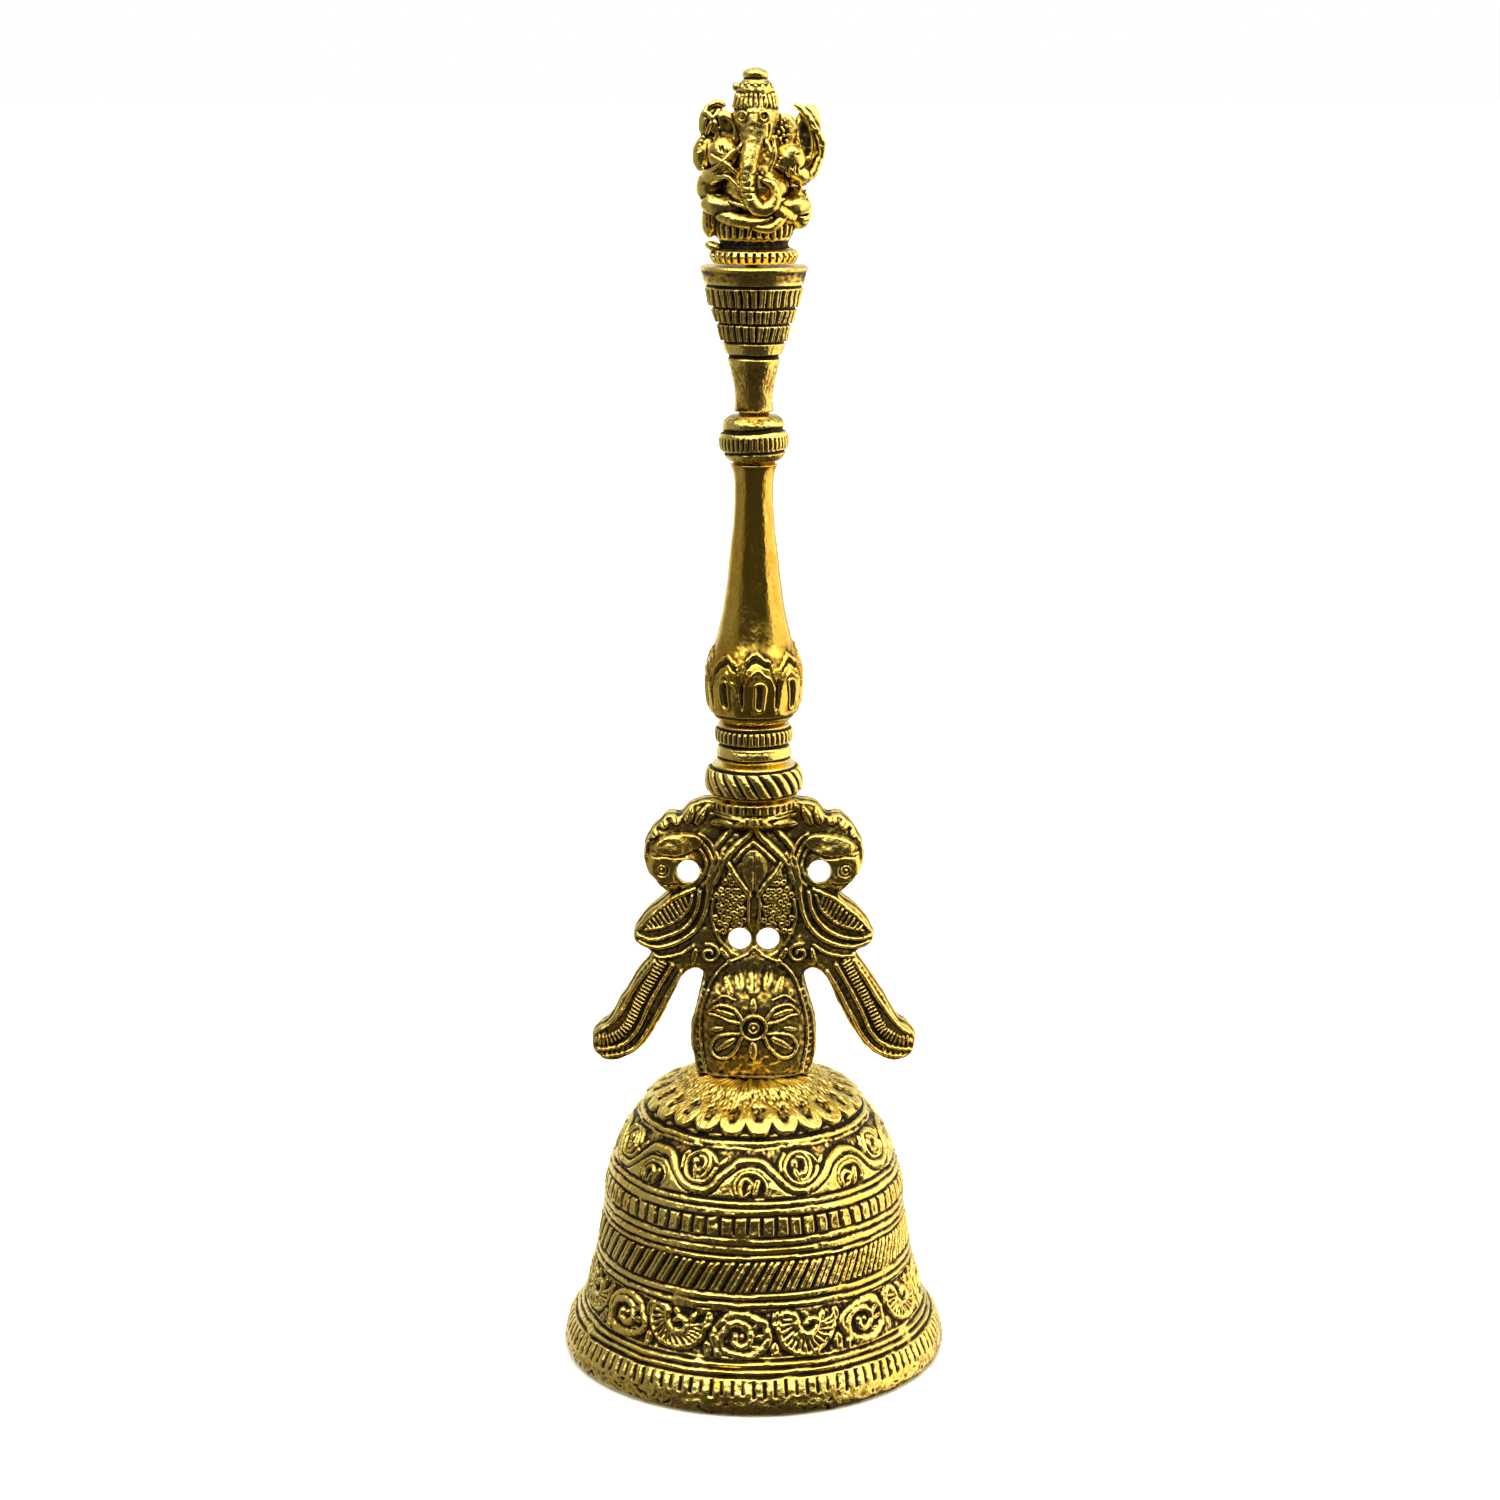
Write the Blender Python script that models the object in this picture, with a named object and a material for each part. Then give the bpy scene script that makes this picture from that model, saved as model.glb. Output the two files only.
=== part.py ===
"""Brass puja bell: a hand bell whose handle is a stack of castings drawn together by a tie rod.

From the top: a seated elephant-headed finial, a leafed capital, a ringed knop, a baluster grip,
a beaded collar, a rope collar, a pierced peacock bracket and the banded cup. Inside the cup an eye
bolt carries a link ring, and the clapper swings on the ring.

The bell stands on its rim. z = 0 is the rim's flat edge, +Z runs up the handle, the bracket and
the finial face -Y, and X runs across the bracket. Sizes below are millimetres; MM turns them into
Blender's metres where a mesh is made.
"""

from math import cos, pi, radians, sin, tau

import bmesh
import bpy
from mathutils import Matrix, Vector

MM = 0.001
GAP = 0.3                     # clearance between pieces that touch

# Heights of the castings' top faces, from the rim up.
CUP_TOP = 45.4
BRACKET_TOP = 90.0
ROPE_COLLAR_TOP = 95.6
BEADED_COLLAR_TOP = 101.8
GRIP_TOP = 141.8
KNOP_TOP = 149.2
CAPITAL_TOP = 171.3
BELL_TOP = 200.0

# Cup.
RIM_RADIUS = 30.5
CROWN_INSIDE = 42.4           # height of the crown's inner face

# Tie rod through the handle, and its bores.
ROD_RADIUS = 1.25
ROD_BORE = ROD_RADIUS + GAP
ROD_BOTTOM = 84.0
ROD_TOP = 178.0

# Eye bolt that hangs the clapper and holds the cup to the bracket.
BOLT_RADIUS = 1.5
BOLT_BORE = BOLT_RADIUS + GAP
BOLT_TOP = 56.7
WASHER_RADIUS = 4.5
WASHER_THICKNESS = 0.8
FLANGE_RADIUS = 3.2
FLANGE_THICKNESS = 1.0
EYE_RADIUS = 2.7              # to the middle of the eye's wire
EYE_WIRE = 0.7                # wire radius

# Link ring, between the eye and the clapper's loop.
LINK_RADIUS = 2.8
LINK_WIRE = 0.6

# Clapper: a looped rod with a bored ball riveted on its lower end.
LOOP_RADIUS = 2.15
LOOP_WIRE = 0.65
CLAPPER_ROD_RADIUS = 1.1
BALL_RADIUS = 6.8
BALL_HEIGHT = 9.8             # the ball's centre above the rim
RIVET_RADIUS = 2.0
RIVET_HEIGHT = 1.1

# Where the hanging pieces come to rest, worked out down the chain.
WASHER_TOP = CROWN_INSIDE - GAP
FLANGE_TOP = WASHER_TOP - WASHER_THICKNESS - GAP
EYE_CENTRE = FLANGE_TOP - FLANGE_THICKNESS - EYE_RADIUS - 0.6
LINK_CENTRE = EYE_CENTRE - EYE_RADIUS + EYE_WIRE + GAP + LINK_WIRE - LINK_RADIUS
PIVOT = LINK_CENTRE - LINK_RADIUS                     # middle of the link's lowest wire
LOOP_CENTRE = PIVOT + LINK_WIRE + GAP + LOOP_WIRE - LOOP_RADIUS
RIVET_TOP = BALL_HEIGHT - BALL_RADIUS - 0.2

SEGMENTS = 24                 # steps round a handle casting
CUP_SEGMENTS = 48

# Pierced bracket: the right half of its outline, from the top shoulder down to the foot.
BRACKET_HALF_THICKNESS = 3.4
BRACKET_FOOT = CUP_TOP + GAP
BRACKET_OUTLINE = [
    (7.0, 89.7), (9.4, 89.1), (11.6, 87.6), (13.6, 87.4), (15.6, 86.0), (16.9, 83.0),
    (16.8, 79.4), (15.6, 77.0), (13.7, 74.9), (15.6, 72.8), (17.6, 70.6), (18.8, 68.1),
    (18.2, 66.2), (16.0, 65.2), (17.9, 62.8), (20.0, 59.6), (21.9, 56.2), (24.2, 53.6),
    (25.4, 50.8), (24.7, 48.3), (21.9, 47.4), (18.4, 48.6), (15.8, 51.6), (13.3, 56.2),
    (10.9, 60.8), (8.9, 62.3), (7.9, 61.0), (8.6, 58.4), (9.6, 54.4), (9.8, 50.0), (9.2, BRACKET_FOOT),
]
BRACKET_HOLES = [(10.2, 78.5), (2.2, 67.5)]           # repeated on the left
BRACKET_HOLE_RADIUS = 1.75

BRASS = (0.66, 0.47, 0.14)
DARK_BRASS = (0.42, 0.30, 0.10)
STEEL = (0.42, 0.41, 0.39)


def clear_scene():
    for item in list(bpy.data.objects):
        bpy.data.objects.remove(item, do_unlink=True)


def metal(name, colour, roughness):
    """A plain metallic Principled material."""
    material = bpy.data.materials.new(name)
    material.use_nodes = True
    shader = material.node_tree.nodes["Principled BSDF"]
    shader.inputs["Base Color"].default_value = (*colour, 1.0)
    shader.inputs["Roughness"].default_value = roughness
    shader.inputs["Metallic"].default_value = 1.0
    return material


def add_object(name, bm, material=None, origin=(0.0, 0.0, 0.0)):
    """Make an object from a bmesh, with its origin at a point given in mm."""
    centre = Vector(origin) * MM
    bmesh.ops.translate(bm, verts=bm.verts, vec=-centre)
    bmesh.ops.recalc_face_normals(bm, faces=bm.faces)
    if bm.calc_volume(signed=True) < 0.0:
        bmesh.ops.reverse_faces(bm, faces=bm.faces)
    mesh = bpy.data.meshes.new(name)
    bm.to_mesh(mesh)
    bm.free()
    mesh.shade_smooth()
    mesh.set_sharp_from_angle(angle=radians(35))
    item = bpy.data.objects.new(name, mesh)
    item.location = centre
    bpy.context.scene.collection.objects.link(item)
    if material:
        mesh.materials.append(material)
    return item


def add_tool(name, bm):
    """A shape that only cuts or joins another piece."""
    item = add_object(name, bm)
    item.hide_render = True
    item.display_type = "WIRE"
    return item


def combine(target, tool, operation):
    modifier = target.modifiers.new(tool.name, "BOOLEAN")
    modifier.operation = operation
    modifier.object = tool


def turned(profile, segments=SEGMENTS):
    """Spin (radius, height) points about Z. Points at radius 0 close the shape on its axis."""
    bm = bmesh.new()
    verts = [bm.verts.new((radius * MM, 0.0, height * MM)) for radius, height in profile]
    pairs = list(zip(verts, verts[1:]))
    if profile[0][0] > 0.0:
        pairs.append((verts[-1], verts[0]))
    edges = [bm.edges.new(pair) for pair in pairs]
    bmesh.ops.spin(bm, geom=verts + edges, cent=(0, 0, 0), axis=(0, 0, 1), angle=tau,
                   steps=segments, use_merge=True)
    bmesh.ops.remove_doubles(bm, verts=bm.verts, dist=1e-7)
    return bm


def sleeve(outside, bore, segments=SEGMENTS):
    """A turned piece with a straight bore through it."""
    bottom = outside[0][1]
    top = outside[-1][1]
    return turned([(bore, bottom)] + outside + [(bore, top)], segments)


def ellipsoid(centre, radii, turn=0.0, twist=5.0, segments=12, rings=7):
    """An ellipsoid turned about Y by `turn` degrees.

    `twist` turns its facets round Z first, so that joined shapes share no plane of vertices.
    """
    bm = bmesh.new()
    bmesh.ops.create_uvsphere(bm, u_segments=segments, v_segments=rings, radius=1.0)
    place = (Matrix.Translation(Vector(centre) * MM) @ Matrix.Rotation(radians(turn), 4, "Y")
             @ Matrix.Diagonal((*(Vector(radii) * MM), 1.0)) @ Matrix.Rotation(radians(twist), 4, "Z"))
    bmesh.ops.transform(bm, matrix=place, verts=bm.verts)
    return bm


def pin(centre, radius, length, axis="Z", segments=24):
    """A straight cylinder, centred on a point and lying along an axis."""
    bm = bmesh.new()
    turns = {"Z": Matrix(), "Y": Matrix.Rotation(pi / 2, 4, "X")}
    bmesh.ops.create_cone(bm, cap_ends=True, segments=segments, radius1=radius * MM,
                          radius2=radius * MM, depth=length * MM)
    bmesh.ops.transform(bm, matrix=Matrix.Translation(Vector(centre) * MM) @ turns[axis], verts=bm.verts)
    return bm


def wire_ring(centre, radius, wire, plane, segments=24, sides=8):
    """A round wire ring standing in the XZ or the YZ plane."""
    bm = bmesh.new()
    turns = [tau * i / sides for i in range(sides)]
    section = [bm.verts.new(((radius + wire * cos(a)) * MM, wire * sin(a) * MM, 0.0)) for a in turns]
    edges = [bm.edges.new((section[i - 1], section[i])) for i in range(sides)]
    bmesh.ops.spin(bm, geom=section + edges, cent=(0, 0, 0), axis=(0, 1, 0), angle=tau,
                   steps=segments, use_merge=True)
    turn = Matrix.Rotation(pi / 2, 4, "Z") if plane == "YZ" else Matrix()
    bmesh.ops.transform(bm, matrix=Matrix.Translation(Vector(centre) * MM) @ turn, verts=bm.verts)
    return bm


def smooth_outline(points, steps):
    """Catmull-Rom curve through the points of an open outline."""
    padded = [points[0]] + points + [points[-1]]
    curve = []
    for before, start, end, after in zip(padded, padded[1:], padded[2:], padded[3:]):
        for step in range(steps):
            t = step / steps
            curve.append(tuple(
                0.5 * (2 * b + (c - a) * t + (2 * a - 5 * b + 4 * c - d) * t ** 2
                       + (3 * b - a - 3 * c + d) * t ** 3)
                for a, b, c, d in zip(before, start, end, after)))
    return curve + [points[-1]]


def make_cup():
    """The cup: rolled lip, banded waist and shouldered crown, open below, with a bolt hole above."""
    outside = [
        (29.8, 0.0), (RIM_RADIUS, 1.2), (30.1, 3.4), (29.2, 5.0), (27.7, 6.3), (26.9, 8.6),
        (25.9, 12.8), (24.8, 18.2), (24.0, 23.4), (23.6, 27.2), (22.6, 31.0), (21.2, 34.2),
        (19.2, 37.5), (16.6, 40.3), (13.7, 42.5), (10.6, 44.4), (10.2, CUP_TOP),
    ]
    inside = [
        (BOLT_BORE, CUP_TOP), (BOLT_BORE, CROWN_INSIDE), (6.0, CROWN_INSIDE), (11.6, 40.4),
        (16.2, 36.6), (19.2, 31.8), (20.9, 26.2), (21.8, 20.6), (23.2, 13.4), (25.0, 6.4),
        (26.5, 1.0), (27.2, 0.0),
    ]
    bm = turned(outside + inside, CUP_SEGMENTS)
    return add_object("bell_cup", bm, metal("cup_brass", BRASS, 0.38))


def make_bracket():
    """The pierced double-peacock plate, thickened at its stem and breast, bored at both ends."""
    right = smooth_outline(BRACKET_OUTLINE, 3)
    outline = right + [(-x, z) for x, z in reversed(right)]
    bm = bmesh.new()
    front = bm.faces.new([bm.verts.new((x * MM, -BRACKET_HALF_THICKNESS * MM, z * MM)) for x, z in outline])
    grown = bmesh.ops.extrude_face_region(bm, geom=[front])
    moved = [item for item in grown["geom"] if isinstance(item, bmesh.types.BMVert)]
    bmesh.ops.translate(bm, verts=moved, vec=(0.0, 2 * BRACKET_HALF_THICKNESS * MM, 0.0))
    bracket = add_object("peacock_bracket", bm, metal("bracket_brass", DARK_BRASS, 0.42))

    stem = turned([(0.0, BRACKET_FOOT), (9.1, BRACKET_FOOT), (9.6, 48.6), (9.7, 52.0), (9.1, 56.0),
                   (7.8, 60.0), (6.0, 64.0), (0.0, 66.0)])
    bmesh.ops.scale(stem, vec=(1.0, 0.58, 1.0), verts=stem.verts)
    breast = ellipsoid((0.0, 0.0, 77.6), (10.4, 4.9, 12.0), segments=24, rings=13)
    boss = turned([(0.0, 85.0), (5.4, 85.0), (6.7, 87.2), (6.9, 88.8), (6.5, BRACKET_TOP),
                   (0.0, BRACKET_TOP)])
    for name, shape in (("stem_core", stem), ("breast_core", breast), ("top_boss", boss)):
        combine(bracket, add_tool(name, shape), "UNION")

    for side, mirror in (("right", 1.0), ("left", -1.0)):
        for row, (x, z) in zip(("upper", "lower"), BRACKET_HOLES):
            hole = pin((mirror * x, 0.0, z), BRACKET_HOLE_RADIUS, 20.0, "Y", segments=20)
            combine(bracket, add_tool(f"{row}_{side}_hole", hole), "DIFFERENCE")

    rod_depth = BRACKET_TOP - ROD_BOTTOM + GAP
    rod_bore = pin((0.0, 0.0, BRACKET_TOP), ROD_BORE, 2 * rod_depth)
    combine(bracket, add_tool("bracket_rod_bore", rod_bore), "DIFFERENCE")
    bolt_depth = BOLT_TOP - BRACKET_FOOT + GAP
    bolt_bore = pin((0.0, 0.0, BRACKET_FOOT), BOLT_BORE, 2 * bolt_depth)
    combine(bracket, add_tool("bracket_bolt_bore", bolt_bore), "DIFFERENCE")
    return bracket


def make_rope_collar():
    base = BRACKET_TOP + GAP
    outside = [(6.3, base), (6.9, base + 0.5), (7.3, base + 1.3), (7.45, base + 2.4), (7.3, base + 3.7),
               (6.9, base + 4.7), (6.0, ROPE_COLLAR_TOP)]
    return add_object("rope_collar", sleeve(outside, ROD_BORE), metal("rope_brass", BRASS, 0.35))


def make_beaded_collar():
    base = ROPE_COLLAR_TOP + GAP
    outside = [(5.3, base), (5.8, base + 0.4), (5.75, base + 1.2), (5.3, base + 1.7), (5.3, base + 2.1),
               (5.9, base + 2.8), (6.05, base + 3.9), (5.85, base + 4.9), (5.3, base + 5.3),
               (5.2, BEADED_COLLAR_TOP)]
    return add_object("beaded_collar", sleeve(outside, ROD_BORE), metal("bead_brass", BRASS, 0.35))


def make_grip():
    """The baluster that the hand holds: a slim waist swelling to a leafed bulb."""
    base = BEADED_COLLAR_TOP + GAP
    outside = [(5.0, base), (5.9, base + 0.6), (6.8, base + 1.6), (7.2, base + 3.2), (7.4, base + 5.4),
               (7.4, base + 7.6), (7.1, 111.1), (6.4, 113.0), (5.7, 115.0), (5.0, 118.2), (4.5, 120.8),
               (4.05, 124.6), (3.6, 128.4), (3.2, 132.4), (2.95, 136.4), (3.05, 139.4),
               (3.5, 141.2), (3.6, GRIP_TOP)]
    return add_object("baluster_grip", sleeve(outside, ROD_BORE), metal("grip_brass", BRASS, 0.25))


def make_knop():
    base = GRIP_TOP + GAP
    outside = [(3.8, base), (4.3, base + 0.6), (4.75, base + 1.3), (5.2, base + 2.2), (5.3, base + 3.2),
               (5.1, base + 4.0), (4.7, base + 4.5), (4.75, base + 5.6), (4.5, base + 6.4), (3.8, KNOP_TOP)]
    return add_object("ringed_knop", sleeve(outside, ROD_BORE), metal("knop_brass", BRASS, 0.33))


def make_capital():
    """The flared capital: a smooth neck, three stepped rows of leaves and a concave top band."""
    base = KNOP_TOP + GAP
    outside = [(2.95, base), (2.85, base + 2.0), (3.1, base + 4.0), (3.6, base + 6.4), (4.1, base + 8.2),
               (4.5, base + 9.0), (4.6, base + 10.4), (5.5, base + 12.6), (5.4, base + 13.1),
               (6.3, base + 15.2), (6.2, base + 15.7), (7.0, base + 17.6), (7.0, base + 18.2),
               (7.6, base + 19.6), (8.1, base + 21.0), (8.0, CAPITAL_TOP)]
    return add_object("leaf_capital", sleeve(outside, ROD_BORE), metal("capital_brass", BRASS, 0.34))


def make_finial():
    """The seated elephant-headed figure, massed from rounded volumes on a turned seat."""
    base = CAPITAL_TOP + GAP
    seat = [(0.0, base), (7.0, base), (7.2, base + 1.0), (6.6, base + 1.9), (6.2, base + 2.5),
            (6.2, base + 3.4), (7.2, base + 4.4), (7.4, base + 5.6), (6.4, base + 6.8), (0.0, base + 7.4)]
    finial = add_object("elephant_figure_finial", turned(seat, 32), metal("finial_brass", BRASS, 0.36))

    volumes = {
        "back": ((0.0, 1.4, 183.5), (7.2, 4.4, 8.2), 0.0),
        "belly": ((0.0, -0.6, 183.0), (5.9, 5.6, 6.0), 0.0),
        "shoulders": ((0.0, 0.4, 187.4), (6.4, 4.2, 4.4), 0.0),
        "head": ((0.0, -1.2, 191.6), (4.0, 4.4, 4.4), 0.0),
        "crown_band": ((0.0, 0.0, 195.0), (3.3, 3.3, 2.2), 0.0),
        "trunk": ((-0.2, -5.2, 186.4), (1.4, 1.7, 6.0), 0.0),
        "trunk_curl": ((1.2, -5.6, 181.2), (1.9, 1.6, 1.9), 0.0),
    }
    for side, mirror, reach in (("right", 1.0, 0.9), ("left", -1.0, 0.0)):
        volumes[f"{side}_leg"] = ((mirror * 4.6, -1.6, 179.2), (4.2, 4.6, 2.5), mirror * -8.0)
        volumes[f"{side}_ear"] = ((mirror * 4.9, 0.2, 190.6), (2.2, 1.3, 3.2), mirror * 12.0)
        volumes[f"{side}_lower_arm"] = ((mirror * 6.2, -1.4, 184.0), (2.4, 2.6, 3.4), mirror * 10.0)
        volumes[f"{side}_upper_arm"] = ((mirror * (7.1 + reach), 1.2, 187.6), (2.1, 2.1, 4.2), mirror * 16.0)
        volumes[f"{side}_emblem"] = ((mirror * (6.9 + reach), 1.0, 192.0), (1.7, 1.6, 3.4), mirror * -8.0)
    for count, (name, (centre, radii, turn)) in enumerate(volumes.items()):
        shape = ellipsoid(centre, radii, turn, twist=3.1 + 5.3 * count)
        combine(finial, add_tool(f"finial_{name}", shape), "UNION")

    tiara = turned([(0.0, 195.0), (3.0, 195.2), (2.7, 196.8), (2.0, 197.8), (1.7, 198.2), (1.9, 198.8),
                    (1.5, 199.6), (0.7, BELL_TOP), (0.0, BELL_TOP)], 20)
    combine(finial, add_tool("finial_tiara", tiara), "UNION")
    rod_bore = pin((0.0, 0.0, base), ROD_BORE, 2 * (ROD_TOP + GAP - base))
    combine(finial, add_tool("finial_rod_bore", rod_bore), "DIFFERENCE")
    return finial


def make_tie_rod():
    bm = pin((0.0, 0.0, (ROD_BOTTOM + ROD_TOP) / 2), ROD_RADIUS, ROD_TOP - ROD_BOTTOM, segments=20)
    return add_object("tie_rod", bm, metal("rod_steel", STEEL, 0.4))


def make_hanger():
    """Eye bolt: a shank up into the bracket, a flange under the washer, and the eye below."""
    shank = turned([(0.0, EYE_CENTRE + EYE_RADIUS), (BOLT_RADIUS, EYE_CENTRE + EYE_RADIUS),
                    (FLANGE_RADIUS, FLANGE_TOP - FLANGE_THICKNESS), (FLANGE_RADIUS, FLANGE_TOP),
                    (BOLT_RADIUS, FLANGE_TOP), (BOLT_RADIUS, BOLT_TOP), (0.0, BOLT_TOP)], 20)
    bolt = add_object("hanger_eye_bolt", shank, metal("hanger_steel", STEEL, 0.45))
    eye = wire_ring((0.0, 0.0, EYE_CENTRE), EYE_RADIUS, EYE_WIRE, "XZ")
    combine(bolt, add_tool("hanger_eye", eye), "UNION")
    return bolt


def make_washer():
    outside = [(WASHER_RADIUS, WASHER_TOP - WASHER_THICKNESS), (WASHER_RADIUS, WASHER_TOP)]
    return add_object("hanger_washer", sleeve(outside, BOLT_BORE), metal("washer_steel", STEEL, 0.5))


def make_link():
    bm = wire_ring((0.0, 0.0, LINK_CENTRE), LINK_RADIUS, LINK_WIRE, "YZ")
    return add_object("clapper_link", bm, metal("link_steel", STEEL, 0.4), (0.0, 0.0, EYE_CENTRE))


def make_clapper_rod():
    """The clapper's rod: a loop round the link above, a straight shank and a riveted head below."""
    loop_bottom = LOOP_CENTRE - LOOP_RADIUS
    rivet_bottom = RIVET_TOP - RIVET_HEIGHT
    shank = turned([(0.0, rivet_bottom), (RIVET_RADIUS - 0.5, rivet_bottom),
                    (RIVET_RADIUS, rivet_bottom + 0.5), (RIVET_RADIUS, RIVET_TOP),
                    (CLAPPER_ROD_RADIUS, RIVET_TOP),
                    (CLAPPER_ROD_RADIUS, loop_bottom - 1.0), (0.6, loop_bottom + 0.2),
                    (0.0, loop_bottom + 0.2)], 20)
    rod = add_object("clapper_rod", shank, metal("clapper_rod_brass", BRASS, 0.4), (0.0, 0.0, PIVOT))
    loop = wire_ring((0.0, 0.0, LOOP_CENTRE), LOOP_RADIUS, LOOP_WIRE, "XZ")
    combine(rod, add_tool("clapper_loop", loop), "UNION")
    return rod


def make_clapper_ball():
    """The striking ball, bored for its rod."""
    bore = CLAPPER_ROD_RADIUS + GAP
    steps = 10
    limit = pi / 2 - bore / BALL_RADIUS
    arc = [-limit + 2 * limit * step / steps for step in range(steps + 1)]
    outside = [(BALL_RADIUS * cos(angle), BALL_HEIGHT + BALL_RADIUS * sin(angle)) for angle in arc]
    return add_object("clapper_ball", sleeve(outside, bore), metal("ball_brass", BRASS, 0.4),
                      (0.0, 0.0, PIVOT))


def main():
    clear_scene()
    make_cup()
    make_bracket()
    make_rope_collar()
    make_beaded_collar()
    make_grip()
    make_knop()
    make_capital()
    make_finial()
    make_tie_rod()
    make_hanger()
    make_washer()
    make_link()
    make_clapper_rod()
    make_clapper_ball()


main()
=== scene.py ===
"""Looks of a cast brass hand bell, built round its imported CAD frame.

Work is in millimetres until a mesh is made.
"""

import math

import bpy
import numpy as np
from mathutils import Matrix, Vector


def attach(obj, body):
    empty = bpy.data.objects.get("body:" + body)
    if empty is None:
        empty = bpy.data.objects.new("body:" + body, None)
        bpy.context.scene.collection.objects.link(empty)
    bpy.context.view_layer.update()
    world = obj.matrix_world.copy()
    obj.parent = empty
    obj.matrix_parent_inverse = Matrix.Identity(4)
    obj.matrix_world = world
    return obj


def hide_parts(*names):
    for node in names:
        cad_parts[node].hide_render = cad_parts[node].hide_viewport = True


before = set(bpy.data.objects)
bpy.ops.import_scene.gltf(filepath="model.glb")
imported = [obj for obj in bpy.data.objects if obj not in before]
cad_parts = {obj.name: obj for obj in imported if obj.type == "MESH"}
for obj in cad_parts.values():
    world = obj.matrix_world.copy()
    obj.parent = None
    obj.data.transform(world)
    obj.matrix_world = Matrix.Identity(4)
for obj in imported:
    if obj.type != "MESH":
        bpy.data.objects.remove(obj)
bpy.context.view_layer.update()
MM = 0.001
TAU = 2 * math.pi


# ---------------------------------------------------------------- numbers and curves

def smooth(edge_low, edge_high, x):
    """0 at edge_low, 1 at edge_high, with an eased step between."""
    t = np.clip((x - edge_low) / (edge_high - edge_low), 0.0, 1.0)
    return t * t * (3 - 2 * t)


def ridge(distance, half_width):
    """A rounded ridge: 1 on its line, 0 past its half width."""
    t = np.clip(1 - (distance / half_width) ** 2, 0.0, 1.0)
    return t ** 0.75


def groove(x, centre, half_width):
    """A rounded groove: -1 on its centre, 0 past its half width."""
    t = np.clip(1 - ((x - centre) / half_width) ** 2, 0.0, 1.0)
    return -t ** 0.8


def band(x, low, high, soft=0.15):
    """1 between two heights, eased to 0 outside them."""
    return smooth(low - soft, low + soft, x) * (1 - smooth(high - soft, high + soft, x))


def curve(points, spacing=0.12, closed=False):
    """A smooth line through points, resampled to an even spacing."""
    p = np.array(points, float)
    if closed:
        p = np.vstack([p[-1], p, p[0], p[1]])
    else:
        p = np.vstack([2 * p[0] - p[1], p, 2 * p[-1] - p[-2]])
    out = []
    t = np.linspace(0, 1, 16, endpoint=False)[:, None]
    for a, b, c, d in zip(p, p[1:], p[2:], p[3:]):
        out.append(0.5 * (2 * b + (c - a) * t + (2 * a - 5 * b + 4 * c - d) * t ** 2
                          + (3 * b - a - 3 * c + d) * t ** 3))
    out = np.vstack(out + [p[-2][None]])
    length = np.concatenate([[0], np.cumsum(np.linalg.norm(np.diff(out, axis=0), axis=1))])
    count = max(3, int(length[-1] / spacing) + 1)
    at = np.linspace(0, length[-1], count)
    return np.column_stack([np.interp(at, length, out[:, k]) for k in range(out.shape[1])])


def arc(cx, cy, rx, ry, start, stop, count):
    """Points of an elliptical arc, its angles in half turns."""
    turn = np.linspace(start, stop, count) * math.pi
    return np.column_stack([cx + rx * np.cos(turn), cy + ry * np.sin(turn)])


def spiral(cx, cy, outer, inner, turns, start):
    """Points of a spiral that winds in from one radius to the other, its start in half turns."""
    t = np.linspace(0, 1, int(turns * 14))
    turn = start * math.pi + turns * TAU * t
    radius = outer + (inner - outer) * t
    return np.column_stack([cx + radius * np.cos(turn), cy + radius * np.sin(turn)])


def blur(grid, sigma, wrap):
    """Gaussian blur of a 2-D grid; wrap says for each axis whether it joins round."""
    out = grid
    for axis, s in enumerate(sigma):
        pad = 0 if wrap[axis] else int(4 * s) + 1
        widths = [(0, 0), (0, 0)]
        widths[axis] = (pad, pad)
        work = np.pad(out, widths, mode="edge") if pad else out
        n = work.shape[axis]
        f = np.fft.rfftfreq(n)
        kernel = np.exp(-2 * (math.pi * f * s) ** 2)
        kernel = kernel[:, None] if axis == 0 else kernel[None, :]
        work = np.fft.irfft(np.fft.rfft(work, axis=axis) * kernel, n=n, axis=axis)
        if pad:
            work = work[pad:-pad] if axis == 0 else work[:, pad:-pad]
        out = work
    return out


def grain(shape, sigma, seed, wrap=(False, False)):
    """Seeded random bumps of a given size in grid steps, spread to about -1..1."""
    raw = np.random.default_rng(seed).standard_normal(shape)
    raw = blur(raw, sigma, wrap)
    return raw / (2 * raw.std())


def round_grain(a, rows, columns, seed):
    """Grain over a turned piece's grid of angles, whose columns join round."""
    return grain(a.shape, (rows, columns), seed, (False, True))


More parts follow.
